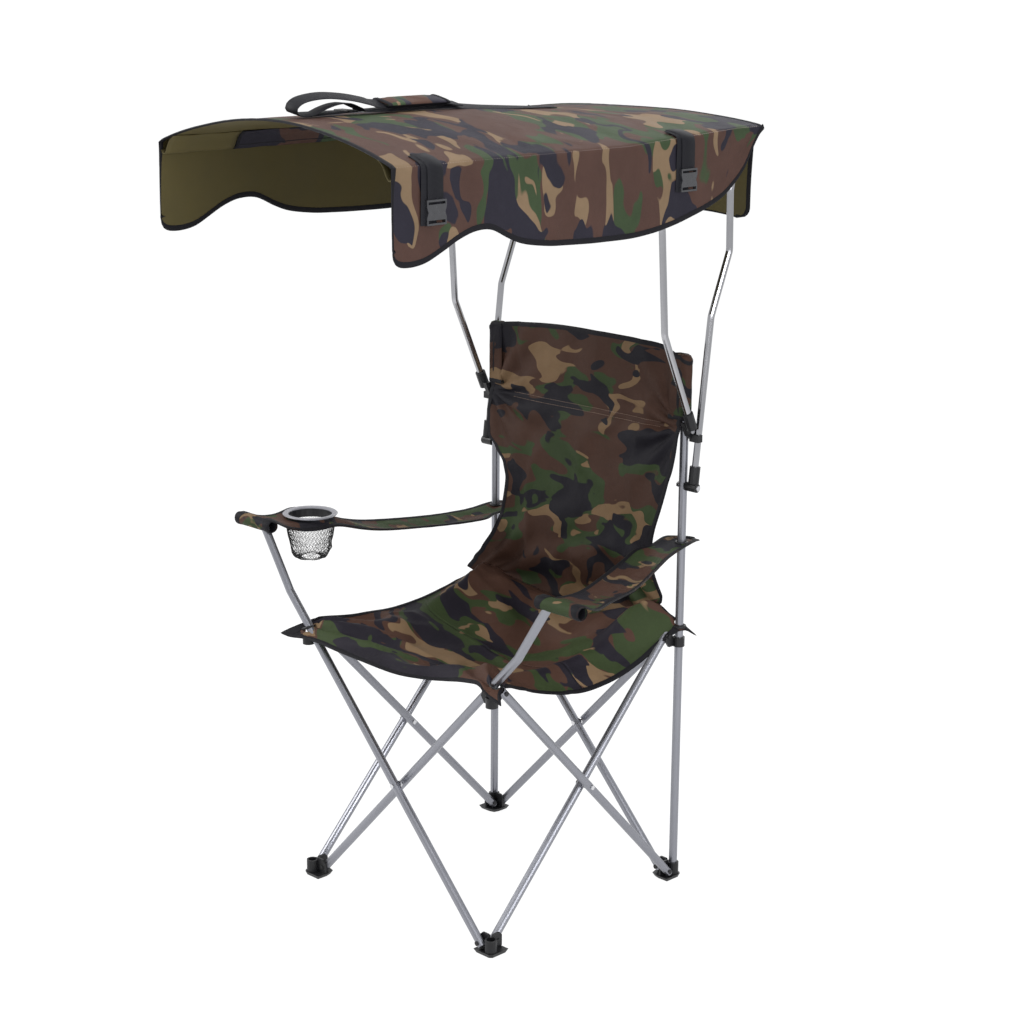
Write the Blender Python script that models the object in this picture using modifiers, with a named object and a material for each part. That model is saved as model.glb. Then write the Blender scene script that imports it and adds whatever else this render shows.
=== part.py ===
"""Canopy camping chair.

Eight steel tubes cross in four X pairs between four moulded feet and four moulded hubs, so the
frame folds to a bundle from both sides at once. Two rear posts stand in the rear feet, pass
through the rear hubs and carry the slung back cloth. The front tubes run on past their hubs as
arm posts. A cloth canopy hangs on two rails, each on a pair of bent rods bolted to a post.
+X is the sitter's left, -Y the front, +Z up, in metres.
"""

import math

import bmesh
import bpy
from mathutils import Matrix, Vector

# Frame: corners on a square, tubes crossed on each of its four sides
HALF_PITCH = 0.2485
RIVET_INSET = 0.023
FOOT_RIVET_Z = 0.020
HUB_RIVET_Z = 0.495
TUBE_R = 0.008
TUBE_WALL = 0.0011
TUBE_OVERHANG = 0.008
POST_TOP_Z = 1.030
CLEARANCE = 0.0003
OVERRUN = 0.003

# Rivets and bolts
PIN_R = 0.0025
HEAD_R = 0.0045
HEAD_T = 0.0015
SPACER_R = 0.006
BOLT_R = 0.003
BOLT_HEAD_R = 0.0052
BOLT_HEAD_T = 0.003
NUT_R = 0.0056
NUT_T = 0.004

# Moulded feet and hubs: a boss on the corner axis and a riveted wing along each side
FLANGE_T = 0.0042
FLANGE_INSET = 0.0038
BOSS_R = 0.0112
WING_REACH = 0.032
WING_CHAMFER = 0.006
FOOT_WING_TOP_Z = 0.036
FOOT_BOSS_TOP_Z = 0.030
SOCKET_FLOOR_Z = 0.010
PAD_T = 0.0075
PAD_OUTSET = 0.0128
PAD_SOLE_SHARE = 0.82
HUB_BOTTOM_Z = 0.474
HUB_BOSS_TOP_Z = 0.490
HUB_EYE_R = 0.0062
BOSS_PROUD = 0.0012

# Arm posts: the front tubes above their hubs, each place measured out from the one before
ARM_BEND_RISE = 0.0732
ARM_TOP_OUT = 0.0755
ARM_END_OUT = 0.0595
ARM_TOP_Z = 0.684
ARM_BEND_R = 0.020

# Canopy rods, bent in a plane beside each post, and the rails they carry
ROD_OUT = 0.0245
ROD_R = 0.0065
ROD_BEND_R = 0.030
RAIL_OUT = 0.0195
RAIL_R = 0.00475
RAIL_Z = 1.418
RAIL_FRONT_Y = -0.500
RAIL_REAR_PAST = 0.015
FRONT_ROD_PIVOT_Z = 0.893
REAR_ROD_PIVOT_Z = 0.787
FRONT_ROD_REACH = -0.1205
REAR_ROD_REACH = 0.0965
ROD_END_TRIM = 0.010
SLEEVE_LENGTH = 0.030
SLEEVE_R = 0.0102
FITTING_R = 0.0085
FITTING_PIN_R = 0.002
# Bends of each rod, as shares of its reach and of its rise from pivot to rail
FRONT_ROD_SHARES = ((0.07, 0.019), (0.751, 0.362), (0.859, 0.718), (1.0, 1.0))
REAR_ROD_SHARES = ((0.0, 0.0), (0.389, 0.501), (0.876, 0.686), (0.845, 0.861), (1.0, 1.0))

# Canopy cloth
CLOTH_T = 0.0022
CANOPY_FRONT = 0.520
CANOPY_REAR_PAST = 0.042
FLAP_OUT = 0.0075
SHOULDER_LIFT = 0.012
SHOULDER_RISE = 0.015
CROWN_LIFT = 0.053
CROWN_FALL = 0.036
FLAP_DROP = 0.157
REAR_FLAP_DROP = 0.155
REAR_FLAP_INSET = 0.038
POCKET_DROP = 0.0105
# Stations front to rear: share of the length, of the crown's fall, of the shoulder's rise and
# of the side flap's drop
CANOPY_SHARES = (
    (0.0, 0.0, 0.0, 0.965),
    (0.073, 0.0, 0.0, 0.975),
    (0.157, 0.0, 0.0, 0.765),
    (0.235, 0.0, 0.0, 0.705),
    (0.28, 0.0, 0.0, 0.83),
    (0.319, 0.0, 0.0, 0.90),
    (0.424, 0.0, 0.0, 0.975),
    (0.54, 0.11, 0.0, 1.0),
    (0.66, 0.32, 0.1, 0.99),
    (0.793, 0.60, 0.4, 0.87),
    (0.897, 0.82, 0.8, 0.68),
    (0.96, 0.93, 1.0, 0.09),
    (1.0, 1.0, 1.0, 0.05),
)
ARCH_SHARES = (-1.0, -0.9, -0.75, -0.5, -0.25, 0.0, 0.25, 0.5, 0.75, 0.9, 1.0)
# Cloth pocket round each rail: it starts here and stays this far clear of the rod fittings
POCKET_START = -0.365
POCKET_CLEAR = 0.022

# Seat cloth, in two halves that meet at the middle
SEAT_Z = 0.5130
SEAT_T = 0.003
SEAT_SIDE_SAG_LEFT = 0.082
SEAT_SIDE_SAG_RIGHT = 0.010
SEAT_MIDDLE_SAG = 0.025
SEAT_FRONT_PAST = 0.0235
SEAT_FRONT_DROP = 0.012
SEAT_CORNER_INSET = 0.0345
SEAT_MIDDLE_INSET = 0.0325
SEAT_SAG_INSET = 0.0465
GUSSET_HALF = 0.024
FRONT_GUSSET_TIP = 0.040
REAR_GUSSET_TIP = 0.024

# Back cloth, slung between sleeves on the posts
BACK_T = 0.003
BACK_TOP_Z = 1.036
BACK_TOP_RISE = 0.014
BACK_SLEEVE_CLEAR = 0.021
BACK_SLEEVE_WALL = 0.0025
# Rows below the sleeves: share of the drop, of the half pitch in width, and of the half pitch
# for the place front to rear
BACK_SHARES = (
    (0.0, 0.985, 0.958),
    (0.17, 0.95, 0.905),
    (0.30, 0.865, 0.868),
    (0.52, 0.79, 0.855),
    (0.78, 0.84, 0.90),
    (1.0, 0.90, 0.955),
)
BACK_CURL_SHARE = 0.12

# Arm cloths, as places on the left arm
ARM_T = 0.003
ARM_CLOTH_PAST = 0.015
ARM_SAG = 0.014
ARM_REAR_Z_LEFT = 0.677
ARM_REAR_Z_RIGHT = 0.657
ARM_TIP = 0.040
ARM_TIP_HALF = 0.019
ARM_TIP_LEAN = 0.3
# Stations rear to front: share of the way from the post to the arm post, share of the reach at
# the inner and at the outer edge
ARM_SHARES = (
    (0.0, 0.452, 0.604),
    (0.085, 0.468, 0.612),
    (0.16, 0.440, 0.632),
    (0.30, 0.500, 0.695),
    (0.52, 0.595, 0.800),
    (0.74, 0.700, 0.885),
    (0.92, 0.760, 0.985),
    (1.0, 0.775, 1.0),
)

# Cup holder in the right arm
CUP_INSET = 0.0025
CUP_FRONT = 0.1085
CUP_RIM_Z = 0.688
CUP_RIM_R = 0.054
CUP_RIM_T = 0.0035
CUP_NECK_R = 0.0455
CUP_NECK_T = 0.0028
CUP_NECK_DEPTH = 0.020
CUP_MARGIN = 0.014
NET_R = 0.0445
NET_FLOOR_R = 0.034
NET_FLOOR_Z = 0.600
NET_T = 0.0018

# Webbing and buckles on the canopy
WEB_T = 0.0018
SIDE_WEB_W = 0.038
SIDE_WEB_INSET = 0.038
BUCKLE_W = 0.042
BUCKLE_H = 0.040
BUCKLE_T = 0.0065
SIDE_STRAPS = {"front": (-0.433, 1.336), "rear": (0.173, 1.343)}
STRAP_W = 0.032
STRAP_REAR_Y = 0.141
STRAP_FRONT_Y = -0.481
STRAP_HIGH = 0.042
PAD_LENGTH = 0.144
PAD_W = 0.050
PAD_H = 0.014
PAD_FRONT_Y = -0.277
SLIDER_Y = -0.353
SLIDER_L = 0.020
SLIDER_WALL = 0.0032

# Worked out from the sizes above: places that follow the half pitch and the rails
RIVET_HALF = HALF_PITCH - RIVET_INSET
TUBE_LEAN = RIVET_HALF * 2 / (HUB_RIVET_Z - FOOT_RIVET_Z)
ARM_BEND_X = RIVET_HALF + ARM_BEND_RISE * TUBE_LEAN
ARM_BEND_Z = HUB_RIVET_Z + ARM_BEND_RISE
ARM_TOP_X = ARM_BEND_X + ARM_TOP_OUT
ARM_END_X = ARM_TOP_X + ARM_END_OUT
ARM_CLOTH_X = ARM_END_X + ARM_CLOTH_PAST
ROD_X = HALF_PITCH + ROD_OUT
RAIL_X = ROD_X + RAIL_OUT
FRONT_FITTING_Y = HALF_PITCH + FRONT_ROD_REACH
REAR_FITTING_Y = HALF_PITCH + REAR_ROD_REACH
RAIL_REAR_Y = REAR_FITTING_Y + RAIL_REAR_PAST
CANOPY_REAR = REAR_FITTING_Y + CANOPY_REAR_PAST
FLAP_X = RAIL_X + FLAP_OUT
SHOULDER_Z = RAIL_Z + SHOULDER_LIFT
CROWN_Z = SHOULDER_Z + CROWN_LIFT
HEM_Z = RAIL_Z - POCKET_DROP
REAR_FLAP_HALF = FLAP_X - REAR_FLAP_INSET
SIDE_WEB_TOP_X = FLAP_X - SIDE_WEB_INSET
POCKET_SPANS = (
    (POCKET_START, FRONT_FITTING_Y - POCKET_CLEAR),
    (FRONT_FITTING_Y + POCKET_CLEAR, REAR_FITTING_Y - POCKET_CLEAR),
)
SEAT_FRONT_Y = -HALF_PITCH - SEAT_FRONT_PAST
SEAT_HALF_CORNER = HALF_PITCH - SEAT_CORNER_INSET
SEAT_HALF_MIDDLE = HALF_PITCH - SEAT_MIDDLE_INSET
SEAT_SAG_HALF = HALF_PITCH - SEAT_SAG_INSET
BACK_SLEEVE_Z = FRONT_ROD_PIVOT_Z + BACK_SLEEVE_CLEAR
CUP_X = CUP_INSET - ARM_TOP_X
CUP_Y = CUP_FRONT - HALF_PITCH

# Worked out: planes, middles and radii
Y_CENTRE = (CANOPY_FRONT - CANOPY_REAR) / 2
OUTER_OFFSET = -FLANGE_INSET + CLEARANCE + TUBE_R
INNER_OFFSET = -(FLANGE_INSET + FLANGE_T + CLEARANCE + TUBE_R)
OUTER_PLANE = HALF_PITCH + OUTER_OFFSET
INNER_PLANE = HALF_PITCH + INNER_OFFSET
CROSS_Z = (FOOT_RIVET_Z + HUB_RIVET_Z) / 2
BORE_R = TUBE_R + CLEARANCE
PIN_HOLE_R = PIN_R + CLEARANCE
BOLT_HOLE_R = BOLT_R + CLEARANCE
FLAP_MID_X = FLAP_X - CLOTH_T / 2
CANOPY_END_Y = CANOPY_REAR - CLOTH_T / 2

# Counts
TUBE_SIDES = 16
ROD_SIDES = 12
PIN_SIDES = 12
BEND_STEPS = 5
HOLE_SIDES = 8
TURN_STEPS = 24

# Quarter turns from the rear left corner, and the side that each tube pair lies on
CORNERS = {"rear_left": 0, "rear_right": 1, "front_right": 2, "front_left": 3}
SIDES = {"left": 0, "rear": 1, "right": 2, "front": 3}

X_AXIS = Vector((1, 0, 0))
Y_AXIS = Vector((0, 1, 0))
Z_AXIS = Vector((0, 0, 1))

for old in list(bpy.data.objects):
    bpy.data.objects.remove(old, do_unlink=True)

parts = bpy.data.collections.new("canopy_camping_chair")
cutters = bpy.data.collections.new("cutters")
bpy.context.scene.collection.children.link(parts)
bpy.context.scene.collection.children.link(cutters)


# Finishes

def finish(name, colour, roughness, metallic=0.0):
    material = bpy.data.materials.new(name)
    material.use_nodes = True
    shader = material.node_tree.nodes["Principled BSDF"]
    shader.inputs["Base Color"].default_value = (*colour, 1)
    shader.inputs["Roughness"].default_value = roughness
    shader.inputs["Metallic"].default_value = metallic
    material.diffuse_color = (*colour, 1)
    return material


FINISHES = {
    "frame_steel": finish("frame_steel", (0.40, 0.41, 0.43), 0.38, 0.9),
    "rod_chrome": finish("rod_chrome", (0.62, 0.63, 0.64), 0.18, 1.0),
    "fastener": finish("fastener", (0.70, 0.70, 0.72), 0.25, 1.0),
    "black_moulding": finish("black_moulding", (0.018, 0.018, 0.02), 0.5),
    "grey_moulding": finish("grey_moulding", (0.62, 0.64, 0.64), 0.45),
    "camouflage_cloth": finish("camouflage_cloth", (0.15, 0.13, 0.08), 0.85),
    "pale_camouflage_cloth": finish("pale_camouflage_cloth", (0.24, 0.22, 0.15), 0.85),
    "black_net": finish("black_net", (0.02, 0.02, 0.02), 0.8),
    "black_webbing": finish("black_webbing", (0.02, 0.02, 0.022), 0.75),
}


# Meshes from Blender's primitives, curves and modifiers

def kept(bm, name="shape"):
    """The finished bmesh as mesh data with its faces out."""
    bmesh.ops.recalc_face_normals(bm, faces=bm.faces)
    mesh = bpy.data.meshes.new(name)
    bm.to_mesh(mesh)
    bm.free()
    return mesh


def cylinder(start, end, radius, sides=PIN_SIDES):
    """A capped cylinder from one point to another."""
    start, end = Vector(start), Vector(end)
    turn = (end - start).to_track_quat("Z", "Y").to_matrix().to_4x4()
    bm = bmesh.new()
    bmesh.ops.create_cone(
        bm,
        cap_ends=True,
        segments=sides,
        radius1=radius,
        radius2=radius,
        depth=(end - start).length,
        matrix=Matrix.Translation((start + end) / 2) @ turn,
    )
    return kept(bm)


def block(low, high):
    """A box between two opposite corners."""
    low, high = Vector(low), Vector(high)
    bm = bmesh.new()
    size = Matrix.Diagonal((*(high - low), 1))
    bmesh.ops.create_cube(bm, size=1, matrix=Matrix.Translation((low + high) / 2) @ size)
    return kept(bm)


def evaluated(obj):
    """A new mesh of what the object's modifiers or curve settings make."""
    bpy.context.view_layer.update()
    graph = bpy.context.evaluated_depsgraph_get()
    return bpy.data.meshes.new_from_object(obj.evaluated_get(graph))


def workpiece(data):
    """A temporary object for mesh or curve data, left out of renders."""
    obj = bpy.data.objects.new("workpiece", data)
    obj.hide_render = True
    obj.display_type = "WIRE"
    cutters.objects.link(obj)
    return obj


def closed_mesh_of(curve):
    """The curve's mesh, with its loose caps welded on and its flat faces made whole."""
    obj = workpiece(curve)
    bm = bmesh.new()
    bm.from_mesh(evaluated(obj))
    bpy.data.objects.remove(obj)
    bmesh.ops.remove_doubles(bm, verts=bm.verts, dist=CLEARANCE / 10)
    bmesh.ops.dissolve_limit(bm, angle_limit=math.radians(1), verts=bm.verts, edges=bm.edges)
    return kept(bm)


def plate(outline, thickness, place):
    """A flat plate from a filled 2D outline, extruded both ways from its middle plane."""
    curve = bpy.data.curves.new("outline", "CURVE")
    curve.dimensions = "2D"
    curve.fill_mode = "BOTH"
    curve.extrude = thickness / 2
    spline = curve.splines.new("POLY")
    spline.points.add(len(outline) - 1)
    for point, (u, v) in zip(spline.points, outline):
        point.co = (u, v, 0, 1)
    spline.use_cyclic_u = True
    mesh = closed_mesh_of(curve)
    mesh.transform(place)
    if place.determinant() < 0:
        mesh.flip_normals()
    return mesh


def frame_of(u, v, origin):
    """The matrix that lays an outline's u and v along two directions at an origin."""
    w = u.cross(v)
    turn = Matrix((u, v, w)).transposed().to_4x4()
    return Matrix.Translation(origin) @ turn


def swept(path, radius, sides, capped=True):
    """A round tube or bar along a path, as a bevelled curve made mesh."""
    curve = bpy.data.curves.new("sweep", "CURVE")
    curve.dimensions = "3D"
    curve.bevel_depth = radius
    curve.bevel_resolution = sides // 2 - 2
    curve.use_fill_caps = capped
    spline = curve.splines.new("POLY")
    spline.points.add(len(path) - 1)
    for point, place in zip(spline.points, path):
        point.co = (*place, 1)
    if capped:
        return closed_mesh_of(curve)
    obj = workpiece(curve)
    mesh = evaluated(obj)
    bpy.data.objects.remove(obj)
    return mesh


def bent(points, radius):
    """The path with each inner point turned into an arc of the given radius."""
    points = [Vector(point) for point in points]
    path = [points[0]]
    for before, corner, after in zip(points, points[1:], points[2:]):
        inward = (before - corner).normalized()
        outward = (after - corner).normalized()
        half = inward.angle(outward) / 2
        centre = corner + (inward + outward).normalized() * radius / math.sin(half)
        first = corner + inward * radius / math.tan(half)
        last = corner + outward * radius / math.tan(half)
        sweep = (first - centre).rotation_difference(last - centre)
        for step in range(BEND_STEPS + 1):
            turn = sweep.copy()
            turn.identity()
            turn = turn.slerp(sweep, step / BEND_STEPS)
            path.append(centre + turn @ (first - centre))
    path.append(points[-1])
    return path


def trimmed(path, start, end):
    """The path shortened by a length at each end."""
    first = path[0] + (path[1] - path[0]).normalized() * start
    last = path[-1] + (path[-2] - path[-1]).normalized() * end
    return [first, *path[1:-1], last]


def fused(base, joins=(), cuts=()):
    """The base mesh with others joined on and then others cut out."""
    obj = workpiece(base)
    tools = []
    for operation, meshes in (("UNION", joins), ("DIFFERENCE", cuts)):
        for mesh in meshes:
            tool = workpiece(mesh)
            tools.append(tool)
            step = obj.modifiers.new(operation.lower(), "BOOLEAN")
            step.operation = operation
            step.object = tool
    mesh = evaluated(obj)
    for done in [obj, *tools]:
        bpy.data.objects.remove(done)
    return mesh


def sheet(rows, thickness):
    """Cloth of even thickness about a grid of points, as a Solidify on an open surface."""
    bm = bmesh.new()
    grid = [[bm.verts.new(point) for point in row] for row in rows]
    for near, far in zip(grid, grid[1:]):
        for a, b, c, d in zip(near, near[1:], far[1:], far):
            bm.faces.new((a, b, c, d))
    bmesh.ops.recalc_face_normals(bm, faces=bm.faces)
    mesh = bpy.data.meshes.new("sheet")
    bm.to_mesh(mesh)
    bm.free()
    obj = workpiece(mesh)
    solid = obj.modifiers.new("thickness", "SOLIDIFY")
    solid.thickness = thickness
    solid.offset = 0
    solid.use_even_offset = True
    made = evaluated(obj)
    bpy.data.objects.remove(obj)
    return made


def turned(profile, centre, steps=TURN_STEPS):
    """A turned ring or cup from a closed profile of (radius, z) about an upright axis."""
    mesh = bpy.data.meshes.new("profile")
    places = [(radius, 0, z) for radius, z in profile]
    open_at_axis = profile[0][0] == 0
    count = len(places)
    edges = [(i, (i + 1) % count) for i in range(count - open_at_axis)]
    mesh.from_pydata(places, edges, [])
    obj = workpiece(mesh)
    screw = obj.modifiers.new("turn", "SCREW")
    screw.steps = steps
    screw.render_steps = steps
    screw.use_merge_vertices = True
    screw.merge_threshold = CLEARANCE / 10
    bm = bmesh.new()
    bm.from_mesh(evaluated(obj))
    bpy.data.objects.remove(obj)
    bmesh.ops.remove_doubles(bm, verts=bm.verts, dist=CLEARANCE / 10)
    made = kept(bm)
    made.transform(Matrix.Translation(centre))
    return made


# Nodes, and an empty on the joint axis of each moving body

chair = bpy.data.objects.new("chair_origin", None)
chair.location = (0, Y_CENTRE, 0)
parts.objects.link(chair)


def moving_body(name, pivot):
    empty = bpy.data.objects.new(name, None)
    empty.parent = chair
    empty.location = pivot
    parts.objects.link(empty)
    return empty


def node(name, mesh, body, material):
    """One named solid, its mesh given in the chair's own coordinates."""
    mesh.name = name
    obj = bpy.data.objects.new(name, mesh)
    obj.parent = body
    obj.location = Vector() if body is chair else -body.location
    mesh.materials.clear()
    mesh.materials.append(FINISHES[material])
    mesh.shade_smooth()
    mesh.set_sharp_from_angle(angle=math.radians(35))
    parts.objects.link(obj)
    return obj


def drilled(obj, holes):
    """Round holes in a node, each from start to end with a radius, by live Booleans."""
    for start, end, radius in holes:
        cutter = bpy.data.objects.new(f"{obj.name}_drill", cylinder(start, end, radius, HOLE_SIDES))
        cutter.parent = chair
        cutter.hide_render = True
        cutter.display_type = "WIRE"
        cutters.objects.link(cutter)
        step = obj.modifiers.new("hole", "BOOLEAN")
        step.operation = "DIFFERENCE"
        step.object = cutter


def quarter_turn(quarter):
    return Matrix.Rotation(math.radians(90 * quarter), 4, "Z")


def at_corner(quarter):
    """Corner coordinates, with the corner axis as origin, to chair coordinates."""
    return quarter_turn(quarter) @ Matrix.Translation((HALF_PITCH, HALF_PITCH, 0))


def side_point(side, plane, along, z):
    """A point on a side: its plane's distance from the middle, and the place along it."""
    return quarter_turn(SIDES[side]) @ Vector((plane, along, z))


# Moulded feet and hubs

def foot_wing_outline():
    low = PAD_T / 2
    return (
        (0, low),
        (WING_REACH - WING_CHAMFER, low),
        (WING_REACH, low + WING_CHAMFER),
        (WING_REACH, FOOT_WING_TOP_Z - WING_CHAMFER),
        (WING_REACH - WING_CHAMFER, FOOT_WING_TOP_Z),
        (BOSS_R + CLEARANCE, FOOT_WING_TOP_Z),
        (BOSS_R - WING_CHAMFER / 2, FOOT_BOSS_TOP_Z),
        (0, FOOT_BOSS_TOP_Z),
    )


def hub_wing_outline():
    eye = [
        (
            RIVET_INSET + HUB_EYE_R * math.cos(math.radians(angle)),
            HUB_RIVET_Z + HUB_EYE_R * math.sin(math.radians(angle)),
        )
        for angle in range(-20, 141, 20)
    ]
    return (
        (0, HUB_BOTTOM_Z),
        (RIVET_INSET, HUB_BOTTOM_Z),
        (WING_REACH - CLEARANCE, HUB_BOTTOM_Z + WING_CHAMFER * 2),
        *eye,
        (BOSS_R, HUB_BOSS_TOP_Z),
        (0, HUB_BOSS_TOP_Z),
    )


def rivet(centre, direction, z, reach):
    """Pin, far head and near head of a rivet moulded into a wing."""
    middle = Vector((*centre, z))
    tip = middle + direction * (reach + HEAD_T)
    near_face = middle - direction * (FLANGE_T / 2 + HEAD_T)
    return (
        cylinder(near_face, middle, HEAD_R),
        cylinder(middle, tip - direction * HEAD_T / 2, PIN_R),
        cylinder(tip - direction * HEAD_T, tip, HEAD_R),
    )


def moulding_joins(outline, rivet_z, outer_on_x):
    """The two wings with their rivets, in corner coordinates."""
    middle = -(FLANGE_INSET + FLANGE_T / 2)
    across = TUBE_R * 2 + CLEARANCE * 2 + FLANGE_T / 2
    x_wing = plate(outline, FLANGE_T, frame_of(-Y_AXIS, Z_AXIS, (middle, 0, 0)))
    y_wing = plate(outline, FLANGE_T, frame_of(-X_AXIS, Z_AXIS, (0, middle, 0)))
    x_way = X_AXIS if outer_on_x else -X_AXIS
    y_way = -Y_AXIS if outer_on_x else Y_AXIS
    return [
        x_wing,
        y_wing,
        *rivet((middle, -RIVET_INSET), x_way, rivet_z, across),
        *rivet((-RIVET_INSET, middle), y_way, rivet_z, across),
    ]


def foot_pad():
    """The sole: an L of even width under both wings, drawn in to a smaller flat face."""
    inner = -(FLANGE_INSET + FLANGE_T + WING_CHAMFER)
    cut = WING_CHAMFER
    outline = (
        (PAD_OUTSET, -WING_REACH),
        (PAD_OUTSET, PAD_OUTSET - cut),
        (PAD_OUTSET - cut, PAD_OUTSET),
        (-WING_REACH, PAD_OUTSET),
        (-WING_REACH, inner),
        (inner * 2, inner * 2),
        (inner, -WING_REACH),
    )
    mesh = plate(outline, PAD_T, frame_of(X_AXIS, Y_AXIS, (0, 0, PAD_T / 2)))
    middle = Vector((inner, inner, 0)) * PAD_SOLE_SHARE / 2
    for vertex in mesh.vertices:
        if vertex.co.z < PAD_T / 2:
            vertex.co.xy = middle.xy + (vertex.co.xy - middle.xy) * PAD_SOLE_SHARE
    return mesh


def foot_mesh():
    boss_top = FOOT_BOSS_TOP_Z + BOSS_PROUD
    boss = cylinder((0, 0, PAD_T / 2 + BOSS_PROUD), (0, 0, boss_top), BOSS_R, TUBE_SIDES)
    socket_top = FOOT_WING_TOP_Z + OVERRUN
    socket = cylinder((0, 0, SOCKET_FLOOR_Z), (0, 0, socket_top), BORE_R, TUBE_SIDES)
    wings = moulding_joins(foot_wing_outline(), FOOT_RIVET_Z, outer_on_x=True)
    return fused(boss, [foot_pad(), *wings], [socket])


def hub_mesh():
    bottom = HUB_BOTTOM_Z - BOSS_PROUD
    boss = cylinder((0, 0, bottom), (0, 0, HUB_BOSS_TOP_Z + BOSS_PROUD), BOSS_R, TUBE_SIDES)
    bore = cylinder((0, 0, bottom - OVERRUN), (0, 0, HUB_RIVET_Z + OVERRUN), BORE_R, TUBE_SIDES)
    wings = moulding_joins(hub_wing_outline(), HUB_RIVET_Z, outer_on_x=False)
    return fused(boss, wings, [bore])


def corner_piece(name, mesh, corner, body):
    placed = mesh.copy()
    placed.transform(at_corner(CORNERS[corner]))
    node(name, placed, body, "black_moulding")


# Scissor tubes, crossing rivets and posts

def tube_way(kind):
    """Direction along a side in which a tube climbs: the outer one towards -Y on the left."""
    return -1 if kind == "outer" else 1


def tube_plane(kind):
    return OUTER_PLANE if kind == "outer" else INNER_PLANE


def arm_post_places():
    return ((ARM_BEND_X, ARM_BEND_Z), (ARM_TOP_X, ARM_TOP_Z), (ARM_END_X, ARM_TOP_Z))


def scissor_tube(side, kind, body):
    """One tube, from its foot rivet past its hub rivet, with its three rivet holes."""
    way = tube_way(kind)
    plane = tube_plane(kind)
    foot = Vector((plane, -way * RIVET_HALF, FOOT_RIVET_Z))
    hub = Vector((plane, way * RIVET_HALF, HUB_RIVET_Z))
    slope = (hub - foot).normalized()
    start = foot - slope * TUBE_OVERHANG
    if side == "front":
        points = [Vector((plane, way * x, z)) for x, z in arm_post_places()]
        path = bent([start, *points], ARM_BEND_R)
    else:
        path = [start, hub + slope * TUBE_OVERHANG]
    mesh = swept(path, TUBE_R, TUBE_SIDES, capped=False)
    mesh.transform(quarter_turn(SIDES[side]))
    tube = node(f"{side}_{kind}_tube", mesh, body, "frame_steel")
    wall = tube.modifiers.new("wall", "SOLIDIFY")
    wall.thickness = TUBE_WALL
    wall.offset = -1
    middle = (0, CROSS_Z)
    holes = []
    for along, z in ((-way * RIVET_HALF, FOOT_RIVET_Z), middle, (way * RIVET_HALF, HUB_RIVET_Z)):
        low = side_point(side, plane - TUBE_R - OVERRUN, along, z)
        high = side_point(side, plane + TUBE_R + OVERRUN, along, z)
        holes.append((low, high, PIN_HOLE_R))
    drilled(tube, holes)


def cross_rivet(side, body):
    """Pin, spacer collar and two heads where a side's tubes cross."""
    inner_face = INNER_PLANE - TUBE_R - CLEARANCE
    outer_face = OUTER_PLANE + TUBE_R + CLEARANCE

    def bar(low, high, radius):
        return cylinder(
            side_point(side, low, 0, CROSS_Z), side_point(side, high, 0, CROSS_Z), radius
        )

    low = HALF_PITCH - FLANGE_INSET - FLANGE_T
    pin = bar(inner_face - HEAD_T / 2, outer_face + HEAD_T / 2, PIN_R)
    heads = [bar(inner_face - HEAD_T, inner_face, HEAD_R)]
    heads.append(bar(outer_face, outer_face + HEAD_T, HEAD_R))
    heads.append(bar(low, low + FLANGE_T, SPACER_R))
    node(f"{side}_cross_rivet", fused(pin, heads), body, "fastener")


def post(side, body):
    """Rear post, from its foot socket up into the back cloth, with two bolt holes."""
    x = side * HALF_PITCH
    low = Vector((x, HALF_PITCH, SOCKET_FLOOR_Z + CLEARANCE))
    high = Vector((x, HALF_PITCH, POST_TOP_Z))
    mesh = swept([low, high], TUBE_R, TUBE_SIDES, capped=False)
    tube = node(f"{hand(side)}_post", mesh, body, "frame_steel")
    wall = tube.modifiers.new("wall", "SOLIDIFY")
    wall.thickness = TUBE_WALL
    wall.offset = -1
    reach = TUBE_R + OVERRUN
    holes = []
    for z in (FRONT_ROD_PIVOT_Z, REAR_ROD_PIVOT_Z):
        ends = [Vector((x + way * reach, HALF_PITCH, z)) for way in (-1, 1)]
        holes.append((*ends, BOLT_HOLE_R))
    drilled(tube, holes)


def hand(side):
    return "left" if side > 0 else "right"


# Canopy linkage: two bent rods on each post, an elbow and a cap at their feet, fittings on top

def rod_path(side, pivot_z, reach, shares):
    rise = RAIL_Z - pivot_z
    points = [
        Vector((side * ROD_X, HALF_PITCH + reach * along, pivot_z + rise * up))
        for along, up in shares
    ]
    return bent(points, ROD_BEND_R)


def front_rod_path(side):
    path = rod_path(side, FRONT_ROD_PIVOT_Z, FRONT_ROD_REACH, FRONT_ROD_SHARES)
    return trimmed(path, 0, ROD_END_TRIM)


def rear_rod_path(side):
    path = rod_path(side, REAR_ROD_PIVOT_Z, REAR_ROD_REACH, REAR_ROD_SHARES)
    return trimmed(path, ROD_END_TRIM, ROD_END_TRIM)


def bolt(name, side, z, head_x, body):
    """A bolt along X through a post: head outside the moulding, nut on the inner side."""
    head_start = head_x + CLEARANCE
    nut_start = HALF_PITCH - TUBE_R - CLEARANCE

    def bar(low, high, radius, sides=PIN_SIDES):
        ends = [Vector((side * x, HALF_PITCH, z)) for x in (low, high)]
        return cylinder(*ends, radius, sides)

    shank = bar(nut_start - NUT_T - PIN_R / 2, head_start + BOLT_HEAD_T / 2, BOLT_R)
    head = bar(head_start, head_start + BOLT_HEAD_T, BOLT_HEAD_R)
    nut = bar(nut_start - NUT_T, nut_start, NUT_R, 6)
    node(name, fused(shank, [head, nut]), body, "fastener")


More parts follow.
